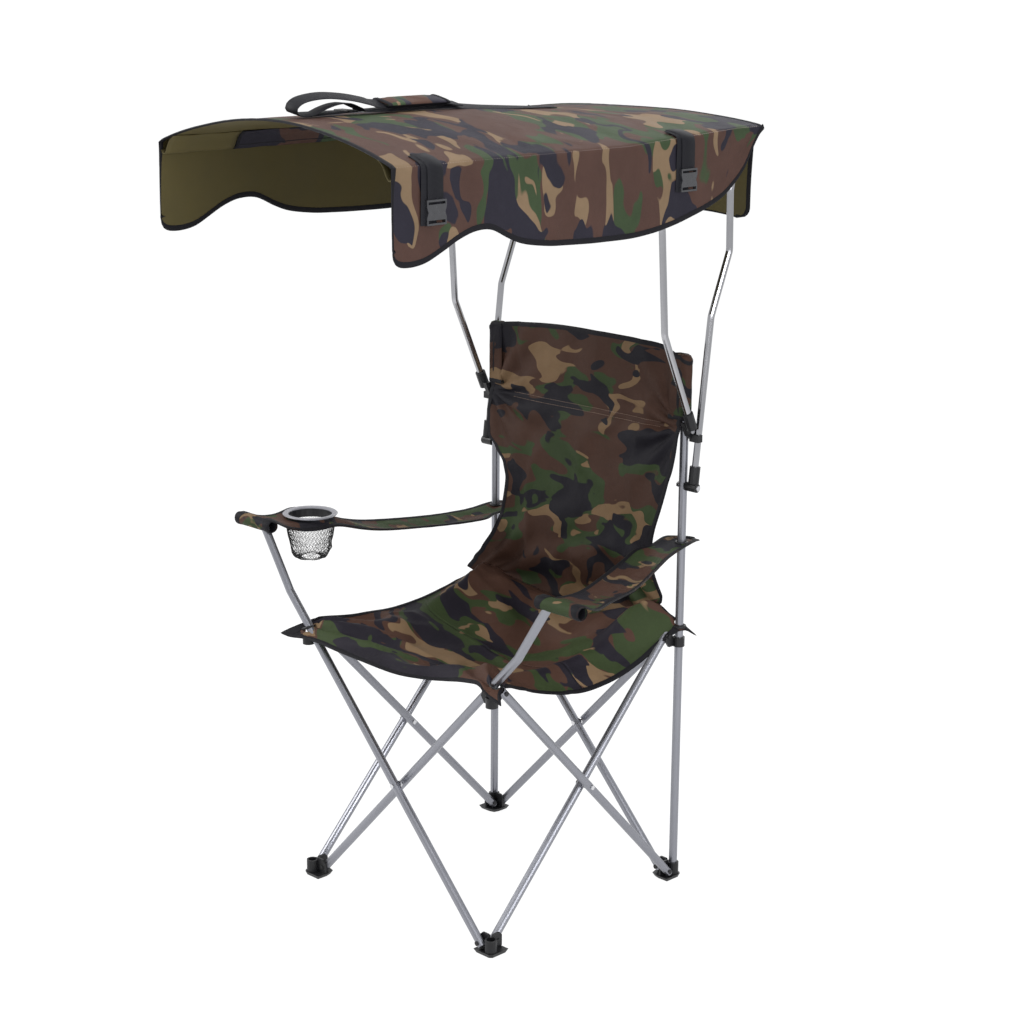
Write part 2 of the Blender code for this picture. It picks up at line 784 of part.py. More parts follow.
def sleeve_on(path, length, radius):
    """A moulded sleeve over the first stretch of a rod, and the bore for the rod."""
    along = (path[1] - path[0]).normalized()
    end = path[0] + along * length
    sleeve = cylinder(path[0] - along * OVERRUN, end, radius, ROD_SIDES)
    bore = cylinder(path[0] - along * CLEARANCE, end + along * OVERRUN, ROD_R + CLEARANCE, ROD_SIDES)
    return sleeve, bore


def elbow(side, body):
    """Front rod's foot: a sleeve, a pivot plate against the post and a saddle for the rear rod."""
    plate_in = HALF_PITCH + TUBE_R + CLEARANCE
    plate_out = ROD_X - ROD_R - CLEARANCE
    path = front_rod_path(side)
    sleeve, bore = sleeve_on(path, SLEEVE_LENGTH, SLEEVE_R)
    rear = rear_rod_path(side)
    along = (rear[1] - rear[0]).normalized()
    saddle_z = FRONT_ROD_PIVOT_Z - BOSS_R
    saddle = rear[0] + along * (saddle_z - rear[0].z) / along.z
    half = SLEEVE_R
    foot = path[0]
    outline = (
        (HALF_PITCH - FITTING_R, FRONT_ROD_PIVOT_Z - FITTING_R),
        (saddle.y, saddle.z - half),
        (saddle.y + ROD_R, saddle.z - half / 2),
        (saddle.y + ROD_R, saddle.z + half),
        (HALF_PITCH + FITTING_R, FRONT_ROD_PIVOT_Z + FITTING_R),
        (foot.y + half / 2, FRONT_ROD_PIVOT_Z + SLEEVE_LENGTH * 0.55),
        (foot.y - half * 1.2, FRONT_ROD_PIVOT_Z + SLEEVE_LENGTH * 0.55),
        (foot.y - half * 0.9, foot.z - OVERRUN / 2),
    )
    middle = (plate_in + plate_out) / 2
    place = frame_of(Y_AXIS, Z_AXIS, (side * middle, 0, 0))
    web = plate(outline, plate_out - plate_in, place)
    cheek_in = side * (plate_in + plate_out) / 2
    cheek_out = side * (ROD_X + SLEEVE_R)
    cheek = block(
        (min(cheek_in, cheek_out), saddle.y - SLEEVE_R - FLANGE_T / 2, saddle.z - half * 0.85),
        (max(cheek_in, cheek_out), saddle.y - CLEARANCE, saddle.z + half / 2),
    )
    groove_r = ROD_R + CLEARANCE * 2
    groove = cylinder(saddle - along * SLEEVE_LENGTH, saddle + along * SLEEVE_LENGTH, groove_r)
    eye = [Vector((side * x, HALF_PITCH, FRONT_ROD_PIVOT_Z)) for x in (plate_in, plate_out)]
    reach = (eye[1] - eye[0]).normalized() * OVERRUN
    hole = cylinder(eye[0] - reach, eye[1] + reach * 3, BOLT_HOLE_R)
    inset = reach * CLEARANCE / OVERRUN
    head_room = cylinder(eye[1] + inset / 2, eye[1] + reach * 3, BOLT_HEAD_R + CLEARANCE)
    boss = cylinder(eye[0] + inset, eye[1] - inset, FITTING_R)
    mesh = fused(web, [boss, sleeve, cheek], [bore, groove, hole, head_room])
    node(f"{hand(side)}_elbow", mesh, body, "black_moulding")
    return plate_out


def rod_cap(side, body):
    """Rear rod's foot: a sleeve with a cross eye, spaced off the post."""
    path = rear_rod_path(side)
    sleeve, bore = sleeve_on(path, SLEEVE_LENGTH, SLEEVE_R)
    inner = HALF_PITCH + TUBE_R + CLEARANCE
    outer = ROD_X + SLEEVE_R
    ends = [Vector((side * x, HALF_PITCH, REAR_ROD_PIVOT_Z)) for x in (inner, outer)]
    reach = (ends[1] - ends[0]).normalized() * OVERRUN
    eye = cylinder(*ends, FITTING_R, TUBE_SIDES)
    hole = cylinder(ends[0] - reach, ends[1] + reach, BOLT_HOLE_R)
    node(f"{hand(side)}_rod_cap", fused(eye, [sleeve], [bore, hole]), body, "black_moulding")
    return outer


def rod_fitting(name, side, path, pivot_y, pinned, body):
    """Cap on a rod's top end with a cross boss beside the rail, and its pin where it has one."""
    down = list(reversed(path))
    sleeve, bore = sleeve_on(down, SLEEVE_LENGTH, FITTING_R)
    inner = ROD_X - FITTING_R
    outer = RAIL_X - RAIL_R - CLEARANCE
    ends = [Vector((side * x, pivot_y, RAIL_Z)) for x in (inner, outer)]
    joins = [sleeve]
    if pinned:
        tip = Vector((side * (RAIL_X + RAIL_R - CLEARANCE), pivot_y, RAIL_Z))
        joins.append(cylinder((ends[0] + ends[1]) / 2, tip, FITTING_PIN_R))
    boss = cylinder(*ends, FITTING_R, ROD_SIDES)
    node(name, fused(boss, joins, [bore]), body, "black_moulding")


def rail(side, body):
    ends = [Vector((side * RAIL_X, y, RAIL_Z)) for y in (RAIL_FRONT_Y, RAIL_REAR_Y)]
    bar = node(f"{hand(side)}_rail", swept(ends, RAIL_R, ROD_SIDES), body, "rod_chrome")
    reach = RAIL_R + OVERRUN
    hole = [Vector((side * (RAIL_X + way * reach), FRONT_FITTING_Y, RAIL_Z)) for way in (-1, 1)]
    drilled(bar, [(*hole, FITTING_PIN_R + CLEARANCE)])


# Canopy cloth, webbing and buckles

def along_canopy(y, column):
    """A canopy share read at a place front to rear."""
    length = CANOPY_FRONT + CANOPY_END_Y
    place = (y + CANOPY_FRONT) / length
    for low, high in zip(CANOPY_SHARES, CANOPY_SHARES[1:]):
        if place <= high[0]:
            part = (place - low[0]) / (high[0] - low[0])
            return low[column] + (high[column] - low[column]) * part
    return CANOPY_SHARES[-1][column]


def roof_z(x, y):
    """Height of the roof's middle surface: an arch from shoulder to shoulder."""
    crown = CROWN_Z - CROWN_FALL * along_canopy(y, 1)
    shoulder = SHOULDER_Z + SHOULDER_RISE * along_canopy(y, 2)
    return shoulder + (crown - shoulder) * (1 - (x / FLAP_MID_X) ** 2)


def canopy_row(y):
    """Left flap hem, up and over the roof, to the right flap hem."""
    drop = FLAP_DROP * along_canopy(y, 3)
    roof = [Vector((FLAP_MID_X * share, y, roof_z(FLAP_MID_X * share, y))) for share in ARCH_SHARES]
    hems = []
    for end in (roof[0], roof[-1]):
        hems.append([end - Z_AXIS * drop, end - Z_AXIS * drop / 2])
    return [*hems[0], *roof, *reversed(hems[1])]


def rear_flap_rows():
    """The flap hung from the roof's rear edge, with rounded lower corners."""
    y = CANOPY_REAR - CLOTH_T / 2
    rows = []
    for down, width in ((0.0, 1.0), (0.35, 0.975), (0.75, 0.97), (0.93, 0.945), (1.0, 0.87)):
        half = REAR_FLAP_HALF * width
        row = []
        for share in ARCH_SHARES:
            x = half * share
            top = roof_z(x, CANOPY_END_Y)
            row.append(Vector((x, y, top - REAR_FLAP_DROP * down)))
        rows.append(row)
    return rows


def rail_pocket(side, start, end):
    """Cloth strip from the roof down inside the rail and out to the flap under it."""
    inner = RAIL_X - RAIL_R - CLEARANCE - CLOTH_T / 2
    rows = []
    steps = max(2, round((end - start) / (SLEEVE_LENGTH * 2)))
    for step in range(steps + 1):
        y = start + (end - start) * step / steps
        rows.append(
            [
                Vector((side * inner, y, roof_z(inner, y))),
                Vector((side * inner, y, RAIL_Z)),
                Vector((side * inner, y, HEM_Z)),
                Vector((side * FLAP_MID_X, y, HEM_Z)),
            ]
        )
    return sheet(rows, CLOTH_T)


def canopy(body):
    length = CANOPY_FRONT + CANOPY_END_Y
    rows = [canopy_row(length * shares[0] - CANOPY_FRONT) for shares in CANOPY_SHARES]
    joins = [sheet(rear_flap_rows(), CLOTH_T)]
    for side in (-1, 1):
        for start, end in POCKET_SPANS:
            joins.append(rail_pocket(side, start, end))
    node("canopy", fused(sheet(rows, CLOTH_T), joins), body, "pale_camouflage_cloth")


def side_strap(side, place, y, end_z, body):
    """Webbing sewn over the canopy's shoulder and down its flap, and its buckle on top."""
    lift = CLOTH_T / 2 + CLEARANCE + WEB_T / 2
    out = FLAP_X + CLEARANCE + WEB_T / 2
    over = [SIDE_WEB_TOP_X, (SIDE_WEB_TOP_X + out) / 2, out]
    rows = []
    for way in (-1, 1):
        edge = y + way * SIDE_WEB_W / 2
        slope = [Vector((side * x, edge, roof_z(x, edge) + lift * 1.6)) for x in over]
        rows.append([*slope, Vector((side * out, edge, end_z))])
    strap = f"{hand(side)}_{place}_strap"
    node(strap, sheet(rows, WEB_T), body, "black_webbing")
    buckle(f"{hand(side)}_{place}_buckle", side, y, end_z, body)


def buckle(name, side, y, end_z, body):
    """Side-release buckle: a bowed plate with a webbing slot and two side windows."""
    back = FLAP_X + CLEARANCE * 2 + WEB_T
    half = BUCKLE_W / 2
    waist = half * 0.86
    middle = end_z + BUCKLE_H / 2
    outline = (
        (y - half, end_z),
        (y + half, end_z),
        (y + half, end_z + BUCKLE_H * 0.3),
        (y + waist, middle),
        (y + half, end_z + BUCKLE_H * 0.72),
        (y + half, end_z + BUCKLE_H),
        (y - half, end_z + BUCKLE_H),
        (y - half, end_z + BUCKLE_H * 0.72),
        (y - waist, middle),
        (y - half, end_z + BUCKLE_H * 0.3),
    )
    place = frame_of(Y_AXIS, Z_AXIS, (side * (back + BUCKLE_T / 2), 0, 0))
    body_plate = plate(outline, BUCKLE_T, place)
    deep = BUCKLE_T + OVERRUN
    cuts = []
    for low, high in ((0.08, 0.2), (0.82, 0.92)):
        near = side * (back - OVERRUN)
        far = side * (back + deep)
        cuts.append(
            block(
                (min(near, far), y - waist, end_z + BUCKLE_H * low),
                (max(near, far), y + waist, end_z + BUCKLE_H * high),
            )
        )
    node(name, fused(body_plate, (), cuts), body, "black_moulding")


def crown_z(y):
    """Underside height for a thing that lies on the crown of the roof."""
    return roof_z(0, y) + CLOTH_T / 2 + CLEARANCE


def shoulder_strap(body):
    """Carrying strap: sewn down along the crown, looped up at the front and back over the pad."""
    lie = WEB_T / 2
    loop = STRAP_FRONT_Y
    high = STRAP_HIGH
    back_y = PAD_FRONT_Y + PAD_LENGTH
    under = high * 0.34
    length = CANOPY_FRONT + CANOPY_END_Y
    stations = [length * shares[0] - CANOPY_FRONT for shares in reversed(CANOPY_SHARES)]
    laid = [(y, lie) for y in stations if back_y + PAD_H * 4 < y < STRAP_REAR_Y]
    places = (
        (STRAP_REAR_Y, lie),
        *laid,
        (back_y + PAD_H * 3, lie),
        (back_y + PAD_H, lie * 2),
        (PAD_FRONT_Y, lie * 4),
        (SLIDER_Y, under * 0.55),
        (loop + high, under * 0.5),
        (loop + high * 0.3, under * 0.6),
        (loop, high * 0.32),
        (loop + high * 0.25, high * 0.66),
        (loop + high * 0.75, high * 0.92),
        (loop + high * 1.9, high * 0.98),
        (PAD_FRONT_Y - high * 0.7, high * 0.72),
        (PAD_FRONT_Y - PAD_H / 2, high * 0.36),
        (back_y, high * 0.36),
        (back_y + PAD_H, high * 0.2),
    )
    half = STRAP_W / 2
    rows = []
    for x in (-half, 0, half):
        rows.append([Vector((x, y, crown_z(y) + up)) for y, up in places])
    node("shoulder_strap", sheet(rows, WEB_T), body, "black_webbing")
    top = crown_z(PAD_FRONT_Y + PAD_H) + high * 0.36 + WEB_T / 2 + CLEARANCE
    strap_pad(top, body)
    strap_slider(crown_z(SLIDER_Y) + under * 0.55, body)


def strap_pad(bottom, body):
    """Padded camouflage sleeve lying on the shoulder strap."""
    bm = bmesh.new()
    bmesh.ops.create_cube(bm, size=1)
    mesh = kept(bm)
    size = Matrix.Diagonal((PAD_W, PAD_LENGTH, PAD_H, 1))
    centre = (0, PAD_FRONT_Y + PAD_LENGTH / 2, bottom + PAD_H / 2 + CLEARANCE)
    mesh.transform(Matrix.Translation(centre) @ size)
    obj = workpiece(mesh)
    bevel = obj.modifiers.new("rounded", "BEVEL")
    bevel.width = PAD_H * 0.45
    bevel.segments = 3
    made = evaluated(obj)
    bpy.data.objects.remove(obj)
    node("strap_pad", made, body, "camouflage_cloth")


def strap_slider(z, body):
    """Flat ring round the lower run of the shoulder strap."""
    half_w = STRAP_W / 2 + CLEARANCE * 2
    half_t = WEB_T / 2 + CLEARANCE * 3
    wall = SLIDER_WALL
    half_l = SLIDER_L / 2
    outer = block(
        (-half_w - wall, SLIDER_Y - half_l, z - half_t - wall / 2),
        (half_w + wall, SLIDER_Y + half_l, z + half_t + wall / 2),
    )
    window = block(
        (-half_w, SLIDER_Y - half_l - OVERRUN, z - half_t),
        (half_w, SLIDER_Y + half_l + OVERRUN, z + half_t),
    )
    node("strap_slider", fused(outer, (), [window]), body, "black_moulding")


# Seat, back and arm cloths

def gusset(corner, outward, z, thickness, half, tip):
    """Pointed corner patch: its tip lies diagonally outward from the eyelet."""
    along = Vector((*outward, 0)).normalized()
    across = Z_AXIS.cross(along)
    root = -half * 2
    brow = half * 0.3
    cheek = half * 0.9
    outline = ((root, -half), (brow, -cheek), (tip, 0), (brow, cheek), (root, half))
    return plate(outline, thickness, frame_of(along, across, (*corner, z)))


def seat_z(x, y):
    """Height of the seat's middle surface: sagging sides and a deeper middle."""
    across = x / SEAT_HALF_CORNER
    along = min(1, abs(y) / SEAT_SAG_HALF)
    slack = 1 - along**2.6
    side = SEAT_SIDE_SAG_LEFT if x > 0 else SEAT_SIDE_SAG_RIGHT
    middle = SEAT_MIDDLE_SAG + (SEAT_SIDE_SAG_LEFT + SEAT_SIDE_SAG_RIGHT) / 2
    edge = min(1, abs(across)) ** 2
    front = SEAT_FRONT_DROP * max(0, -y - RIVET_HALF) / (-SEAT_FRONT_Y - RIVET_HALF)
    hollow = SEAT_MIDDLE_SAG * 0.5 * (1 - edge) * along
    return SEAT_Z - slack * (side * edge + middle * (1 - edge)) - (front + hollow) * (1 - edge**3)


def seat_half_width(y):
    along = min(1, abs(y) / HALF_PITCH)
    return SEAT_HALF_MIDDLE + (SEAT_HALF_CORNER - SEAT_HALF_MIDDLE) * along**2


def seat_rows(start, end, count):
    rows = []
    for step in range(count + 1):
        y = start + (end - start) * step / count
        half = seat_half_width(y)
        shares = (-1, -0.85, -0.6, -0.3, 0, 0.3, 0.6, 0.85, 1)
        rows.append([Vector((half * share, y, seat_z(half * share, y))) for share in shares])
    return rows


def upright_hole(x, y, z):
    return cylinder((x, y, z - OVERRUN * 3), (x, y, z + OVERRUN * 3), BORE_R, TUBE_SIDES)


def arm_post_hole(kind):
    """The slanting hole that an arm post makes through the seat corner above its hub."""
    way = tube_way(kind)
    plane = tube_plane(kind)
    slope = Vector((0, way * RIVET_HALF * 2, HUB_RIVET_Z - FOOT_RIVET_Z)).normalized()
    hub = Vector((plane, way * RIVET_HALF, HUB_RIVET_Z))
    mesh = cylinder(hub, hub + slope * WING_REACH * 2, BORE_R, TUBE_SIDES)
    mesh.transform(quarter_turn(SIDES["front"]))
    return mesh


def eyelet_place(kind):
    """Where an arm post meets the seat corner, seen from above."""
    rise = (SEAT_Z - HUB_RIVET_Z) * RIVET_HALF * 2 / (HUB_RIVET_Z - FOOT_RIVET_Z)
    way = tube_way(kind)
    return side_point("front", tube_plane(kind), way * (RIVET_HALF + rise), 0)


def seat(rear_body, front_body):
    rear = sheet(seat_rows(CLEARANCE / 2, HALF_PITCH - TUBE_R - CLEARANCE, 6), SEAT_T)
    joins = []
    for side in (-1, 1):
        corner = (side * HALF_PITCH, HALF_PITCH)
        outward = (side, 1)
        joins.append(gusset(corner, outward, SEAT_Z, SEAT_T, GUSSET_HALF, REAR_GUSSET_TIP))
    holes = [upright_hole(side * HALF_PITCH, HALF_PITCH, SEAT_Z) for side in (-1, 1)]
    node("seat_rear", fused(rear, joins, holes), rear_body, "camouflage_cloth")
    front = sheet(seat_rows(SEAT_FRONT_Y, -CLEARANCE / 2, 7), SEAT_T)
    joins = []
    for kind in ("outer", "inner"):
        corner = eyelet_place(kind)
        outward = (math.copysign(1, corner.x), -1)
        joins.append(gusset(corner.xy, outward, SEAT_Z, SEAT_T, GUSSET_HALF, FRONT_GUSSET_TIP))
    holes = [arm_post_hole(kind) for kind in ("outer", "inner")]
    node("seat_front", fused(front, joins, holes), front_body, "camouflage_cloth")


def back(body):
    """Back cloth: flat and tall between the post sleeves, drawn in to a waist below."""
    top_y = HALF_PITCH - BORE_R - BACK_T / 2
    shares = (-1, -0.75, -0.45, -0.15, 0.15, 0.45, 0.75, 1)
    rows = []
    for z_share in (1.0, 0.5):
        row = []
        for share in shares:
            rise = BACK_TOP_RISE * (1 - share**2) * (z_share == 1.0)
            z = BACK_SLEEVE_Z + (BACK_TOP_Z - BACK_SLEEVE_Z) * z_share + rise
            row.append(Vector((HALF_PITCH * share, top_y, z)))
        rows.append(row)
    for down, width, place in BACK_SHARES:
        row = []
        for share in shares:
            x = HALF_PITCH * width * share
            y = HALF_PITCH * (place - BACK_CURL_SHARE * down**3 * share**2)
            bottom = seat_z(x, y) + (SEAT_T + BACK_T) / 2
            row.append(Vector((x, y, BACK_SLEEVE_Z + (bottom - BACK_SLEEVE_Z) * down)))
        rows.append(row)
    sleeves = []
    bores = []
    for side in (-1, 1):
        x = side * HALF_PITCH
        low = (x, HALF_PITCH, BACK_SLEEVE_Z)
        high = (x, HALF_PITCH, BACK_TOP_Z + BACK_SLEEVE_WALL)
        sleeves.append(cylinder(low, high, BORE_R + BACK_SLEEVE_WALL, TUBE_SIDES))
        under = (x, HALF_PITCH, BACK_SLEEVE_Z - OVERRUN * 3)
        bores.append(cylinder(under, (x, HALF_PITCH, POST_TOP_Z + CLEARANCE), BORE_R, TUBE_SIDES))
    node("back", fused(sheet(rows, BACK_T), sleeves, bores), body, "camouflage_cloth")


def arm_plane(side):
    return OUTER_PLANE if side < 0 else INNER_PLANE


def arm_z(side, share):
    """Height of an arm cloth from its post, share 0, to its arm post, share 1."""
    rear = ARM_REAR_Z_LEFT if side > 0 else ARM_REAR_Z_RIGHT
    return rear + (ARM_TOP_Z - rear) * share - ARM_SAG * 4 * share * (1 - share)


def arm(side, body):
    """Arm cloth: an eyelet on the post behind, a sleeve over the arm post's end in front."""
    sleeve_y = -arm_plane(side)
    front = sleeve_y + BORE_R
    rows = []
    for share, inner, outer in ARM_SHARES:
        y = HALF_PITCH + (front - HALF_PITCH) * share
        places = [ARM_CLOTH_X * (inner + (outer - inner) * step / 3) for step in range(4)]
        rows.append([Vector((side * x, y, arm_z(side, share))) for x in places])

    def along_sleeve(low, high, radius):
        ends = [Vector((side * x, sleeve_y, ARM_TOP_Z)) for x in (low, high)]
        return cylinder(*ends, radius, TUBE_SIDES)

    z = arm_z(side, 0)
    post_place = (side * HALF_PITCH, HALF_PITCH)
    outward = (side * ARM_TIP_LEAN, 1)
    start = ARM_TOP_X + ARM_BEND_R
    joins = [
        gusset(post_place, outward, z, ARM_T, ARM_TIP_HALF, ARM_TIP),
        along_sleeve(start, ARM_CLOTH_X - CLEARANCE, BORE_R + ARM_T),
    ]
    cuts = [
        along_sleeve(start - OVERRUN, ARM_END_X + CLEARANCE, BORE_R),
        upright_hole(*post_place, z),
    ]
    if side < 0:
        level = arm_z(side, (HALF_PITCH - CUP_Y) / (HALF_PITCH - front))
        joins.append(cup_disc(level, ARM_T / 2, CUP_NECK_R + CUP_MARGIN))
        cuts.append(cup_disc(level, ARM_T * 4, CUP_NECK_R + CLEARANCE))
    node(f"{hand(side)}_arm", fused(sheet(rows, ARM_T), joins, cuts), body, "camouflage_cloth")


def cup_disc(level, half, radius):
    """A round about the cup holder's axis, reaching a half height above and below a level."""
    ends = [Vector((CUP_X, CUP_Y, level + way * half)) for way in (-1, 1)]
    return cylinder(*ends, radius, TURN_STEPS)


# Cup holder

def cup_ring(body):
    """Stepped plastic rim that drops into the hole in the right arm."""
    low = CUP_RIM_Z - CUP_NECK_DEPTH
    bead = CUP_RIM_T / 2
    profile = (
        (CUP_NECK_R, low),
        (CUP_NECK_R, CUP_RIM_Z - CUP_RIM_T),
        (CUP_RIM_R - bead, CUP_RIM_Z - CUP_RIM_T),
        (CUP_RIM_R, CUP_RIM_Z - bead),
        (CUP_RIM_R - bead, CUP_RIM_Z),
        (CUP_NECK_R, CUP_RIM_Z),
        (CUP_NECK_R - CUP_NECK_T, CUP_RIM_Z - bead),
        (CUP_NECK_R - CUP_NECK_T, low),
    )
    node("cup_ring", turned(profile, (CUP_X, CUP_Y, 0)), body, "grey_moulding")


def cup_net(body):
    """Net pocket under the ring, open at the top."""
    top = CUP_RIM_Z - CUP_NECK_DEPTH - CLEARANCE
    curve = (NET_R - NET_FLOOR_R) / 2
    wide = NET_FLOOR_Z + curve * 3
    profile = (
        (0, NET_FLOOR_Z),
        (NET_FLOOR_R, NET_FLOOR_Z),
        (NET_FLOOR_R + curve, NET_FLOOR_Z + curve),
        (NET_R, wide),
        (NET_R, top),
        (NET_R - NET_T, top),
        (NET_R - NET_T, wide),
        (NET_FLOOR_R + curve - NET_T, NET_FLOOR_Z + curve + NET_T / 2),
        (NET_FLOOR_R - NET_T, NET_FLOOR_Z + NET_T),
        (0, NET_FLOOR_Z + NET_T),
    )
    node("cup_net", turned(profile, (CUP_X, CUP_Y, 0)), body, "black_net")


# The bodies of the folding frame, each with its empty on the rivet that it turns about

def foot_rivet(side, kind):
    way = tube_way(kind)
    return side_point(side, tube_plane(kind), -way * RIVET_HALF, FOOT_RIVET_Z)


def hub_rivet(side, kind):
    way = tube_way(kind)
    return side_point(side, tube_plane(kind), way * RIVET_HALF, HUB_RIVET_Z)


def crossing(side):
    return side_point(side, HALF_PITCH, 0, CROSS_Z)


def build_frame():
    bodies = {
        "rear_inner": moving_body("rear_inner_body", foot_rivet("rear", "inner")),
        "rear_outer": moving_body("rear_outer_body", crossing("rear")),
        "left_outer": moving_body("left_outer_body", foot_rivet("left", "outer")),
        "left_inner": moving_body("left_inner_body", crossing("left")),
        "front_outer": moving_body("front_outer_body", foot_rivet("front", "outer")),
        "front_inner": moving_body("front_inner_body", crossing("front")),
        "right_inner": moving_body("right_inner_body", foot_rivet("right", "inner")),
        "right_outer": moving_body("right_outer_body", crossing("right")),
        "rear_left": moving_body("rear_left_hub_body", hub_rivet("rear", "outer")),
        "rear_right": moving_body("rear_right_hub_body", hub_rivet("rear", "inner")),
        "front_left": moving_body("front_left_hub_body", hub_rivet("left", "outer")),
        "front_right": moving_body("front_right_hub_body", hub_rivet("front", "outer")),
        "right_post": moving_body("right_post_body", foot_rivet("rear", "outer")),
        "left_foot": moving_body("front_left_foot_body", foot_rivet("left", "inner")),
        "right_foot": moving_body("front_right_foot_body", foot_rivet("right", "outer")),
    }
    for side in SIDES:
        for kind in ("outer", "inner"):
            scissor_tube(side, kind, bodies[f"{side}_{kind}"])
    for side, kind in (("left", "outer"), ("rear", "inner"), ("right", "inner"), ("front", "outer")):
        cross_rivet(side, bodies[f"{side}_{kind}"])
    hub = hub_mesh()
    for corner in CORNERS:
        corner_piece(f"{corner}_hub", hub, corner, bodies[corner])
    foot = foot_mesh()
    corner_piece("rear_left_foot", foot, "rear_left", chair)
    corner_piece("rear_right_foot", foot, "rear_right", bodies["right_post"])
    corner_piece("front_left_foot", foot, "front_left", bodies["left_foot"])
    corner_piece("front_right_foot", foot, "front_right", bodies["right_foot"])
    post(1, chair)
    post(-1, bodies["right_post"])
    return bodies


def build_linkage(side, post_body):
    """One side's rods, feet, tops, bolts and rail."""
    name = hand(side)
    x = side * ROD_X
    front_body = moving_body(f"{name}_front_rod_body", (x, HALF_PITCH, FRONT_ROD_PIVOT_Z))
    rear_body = moving_body(f"{name}_rear_rod_body", (x, HALF_PITCH, REAR_ROD_PIVOT_Z))
    rail_body = moving_body(f"{name}_rail_body", (x, FRONT_FITTING_Y, RAIL_Z))
    front = front_rod_path(side)
    rear = rear_rod_path(side)
    node(f"{name}_front_rod", swept(front, ROD_R, ROD_SIDES), front_body, "rod_chrome")
    node(f"{name}_rear_rod", swept(rear, ROD_R, ROD_SIDES), rear_body, "rod_chrome")
    elbow_face = elbow(side, front_body)
    cap_face = rod_cap(side, rear_body)
    bolt(f"{name}_upper_bolt", side, FRONT_ROD_PIVOT_Z, elbow_face, post_body)
    bolt(f"{name}_lower_bolt", side, REAR_ROD_PIVOT_Z, cap_face, post_body)
    rod_fitting(f"{name}_front_fitting", side, front, FRONT_FITTING_Y, True, front_body)
    rod_fitting(f"{name}_rear_fitting", side, rear, REAR_FITTING_Y, False, rear_body)
    rail(side, rail_body)
    return rail_body


def build_cloth(bodies, rail_bodies):
    seat_edge = (HALF_PITCH, HALF_PITCH, SEAT_Z)
    seat_rear_body = moving_body("seat_rear_body", seat_edge)
    seat_front_body = moving_body("seat_front_body", (0, 0, seat_z(0, 0)))
    seat(seat_rear_body, seat_front_body)
    back(chair)
    arm_bodies = {}
    for side in (1, -1):
        top = (side * ARM_TOP_X, -arm_plane(side), ARM_TOP_Z)
        arm_bodies[side] = moving_body(f"{hand(side)}_arm_body", top)
        arm(side, arm_bodies[side])
    cup_ring(arm_bodies[-1])
    cup_net(arm_bodies[-1])
    canopy(rail_bodies[1])
    for side in (1, -1):
        for place, (y, end_z) in SIDE_STRAPS.items():
            side_strap(side, place, y, end_z, rail_bodies[side])
    shoulder_strap(rail_bodies[1])


frame_bodies = build_frame()
rails = {1: build_linkage(1, chair), -1: build_linkage(-1, frame_bodies["right_post"])}
build_cloth(frame_bodies, rails)
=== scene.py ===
"""Looks for the canopy camping chair: cloth, webbing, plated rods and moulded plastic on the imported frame.

The sections follow the chair as it is put together: floor and camera first, then the steel frame,
its feet and hubs, the seat, the back, the arms with the cup holder, the canopy's rods, the canopy
itself, and the straps on it. Lengths are metres; z is height, and x and y are counted from the
middle of the four feet, with the sitter's front at the low end of y and the left hand at high x.
"""

import math

import bmesh
import bpy
from mathutils import Matrix, Vector, noise


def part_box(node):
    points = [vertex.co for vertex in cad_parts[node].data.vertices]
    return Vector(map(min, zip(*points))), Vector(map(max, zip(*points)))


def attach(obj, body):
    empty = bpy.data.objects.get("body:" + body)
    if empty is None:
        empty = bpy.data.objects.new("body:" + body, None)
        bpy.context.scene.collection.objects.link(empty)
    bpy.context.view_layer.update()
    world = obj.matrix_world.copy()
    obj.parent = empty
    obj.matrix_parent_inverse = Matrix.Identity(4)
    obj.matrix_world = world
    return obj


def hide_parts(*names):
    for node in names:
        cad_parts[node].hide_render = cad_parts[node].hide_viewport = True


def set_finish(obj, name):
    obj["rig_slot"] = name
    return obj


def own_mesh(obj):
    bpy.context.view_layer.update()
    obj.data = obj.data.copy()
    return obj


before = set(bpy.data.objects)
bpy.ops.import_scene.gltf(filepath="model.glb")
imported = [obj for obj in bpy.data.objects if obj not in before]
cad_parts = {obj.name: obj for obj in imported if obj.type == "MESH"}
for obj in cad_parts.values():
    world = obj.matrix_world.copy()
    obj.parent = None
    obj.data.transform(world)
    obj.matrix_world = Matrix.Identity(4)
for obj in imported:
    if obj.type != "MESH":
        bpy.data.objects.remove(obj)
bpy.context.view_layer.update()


# The studio: a white floor that runs off into a white surround, so that the chair stands free with
# only a faint shadow at its feet. Broad lamps on the left, the right, above and behind light it evenly.

def join(start, end):
    """Links an output to an input in the same material or world."""
    end.id_data.links.new(start, end)


def add(tree, kind, inputs=None, **settings):
    """One node of a material or world. An input is a plain value or another node's socket."""
    made = tree.nodes.new(kind)
    for name, value in settings.items():
        setattr(made, name, value)
    for name, value in (inputs or {}).items():
        if isinstance(value, bpy.types.NodeSocket):
            join(value, made.inputs[name])
        else:
            made.inputs[name].default_value = value
    return made


def maths(operation, first, second):
    """A socket's value put together with a plain number or another socket's value."""
    inputs = {0: first, 1: second}
    return add(first.id_data, "ShaderNodeMath", inputs, operation=operation).outputs[0]


def surface(material):
    """The inputs of a material's main shader."""
    return material.node_tree.nodes["Principled BSDF"].inputs


def plain(name, colour, roughness, metallic=0.0, specular=0.5):
    """A finish with one colour to start from."""
    material = bpy.data.materials.new(name)
    material.use_nodes = True
    surface(material)["Base Color"].default_value = (*colour, 1)
    surface(material)["Roughness"].default_value = roughness
    surface(material)["Metallic"].default_value = metallic
    surface(material)["Specular IOR Level"].default_value = specular
    return material


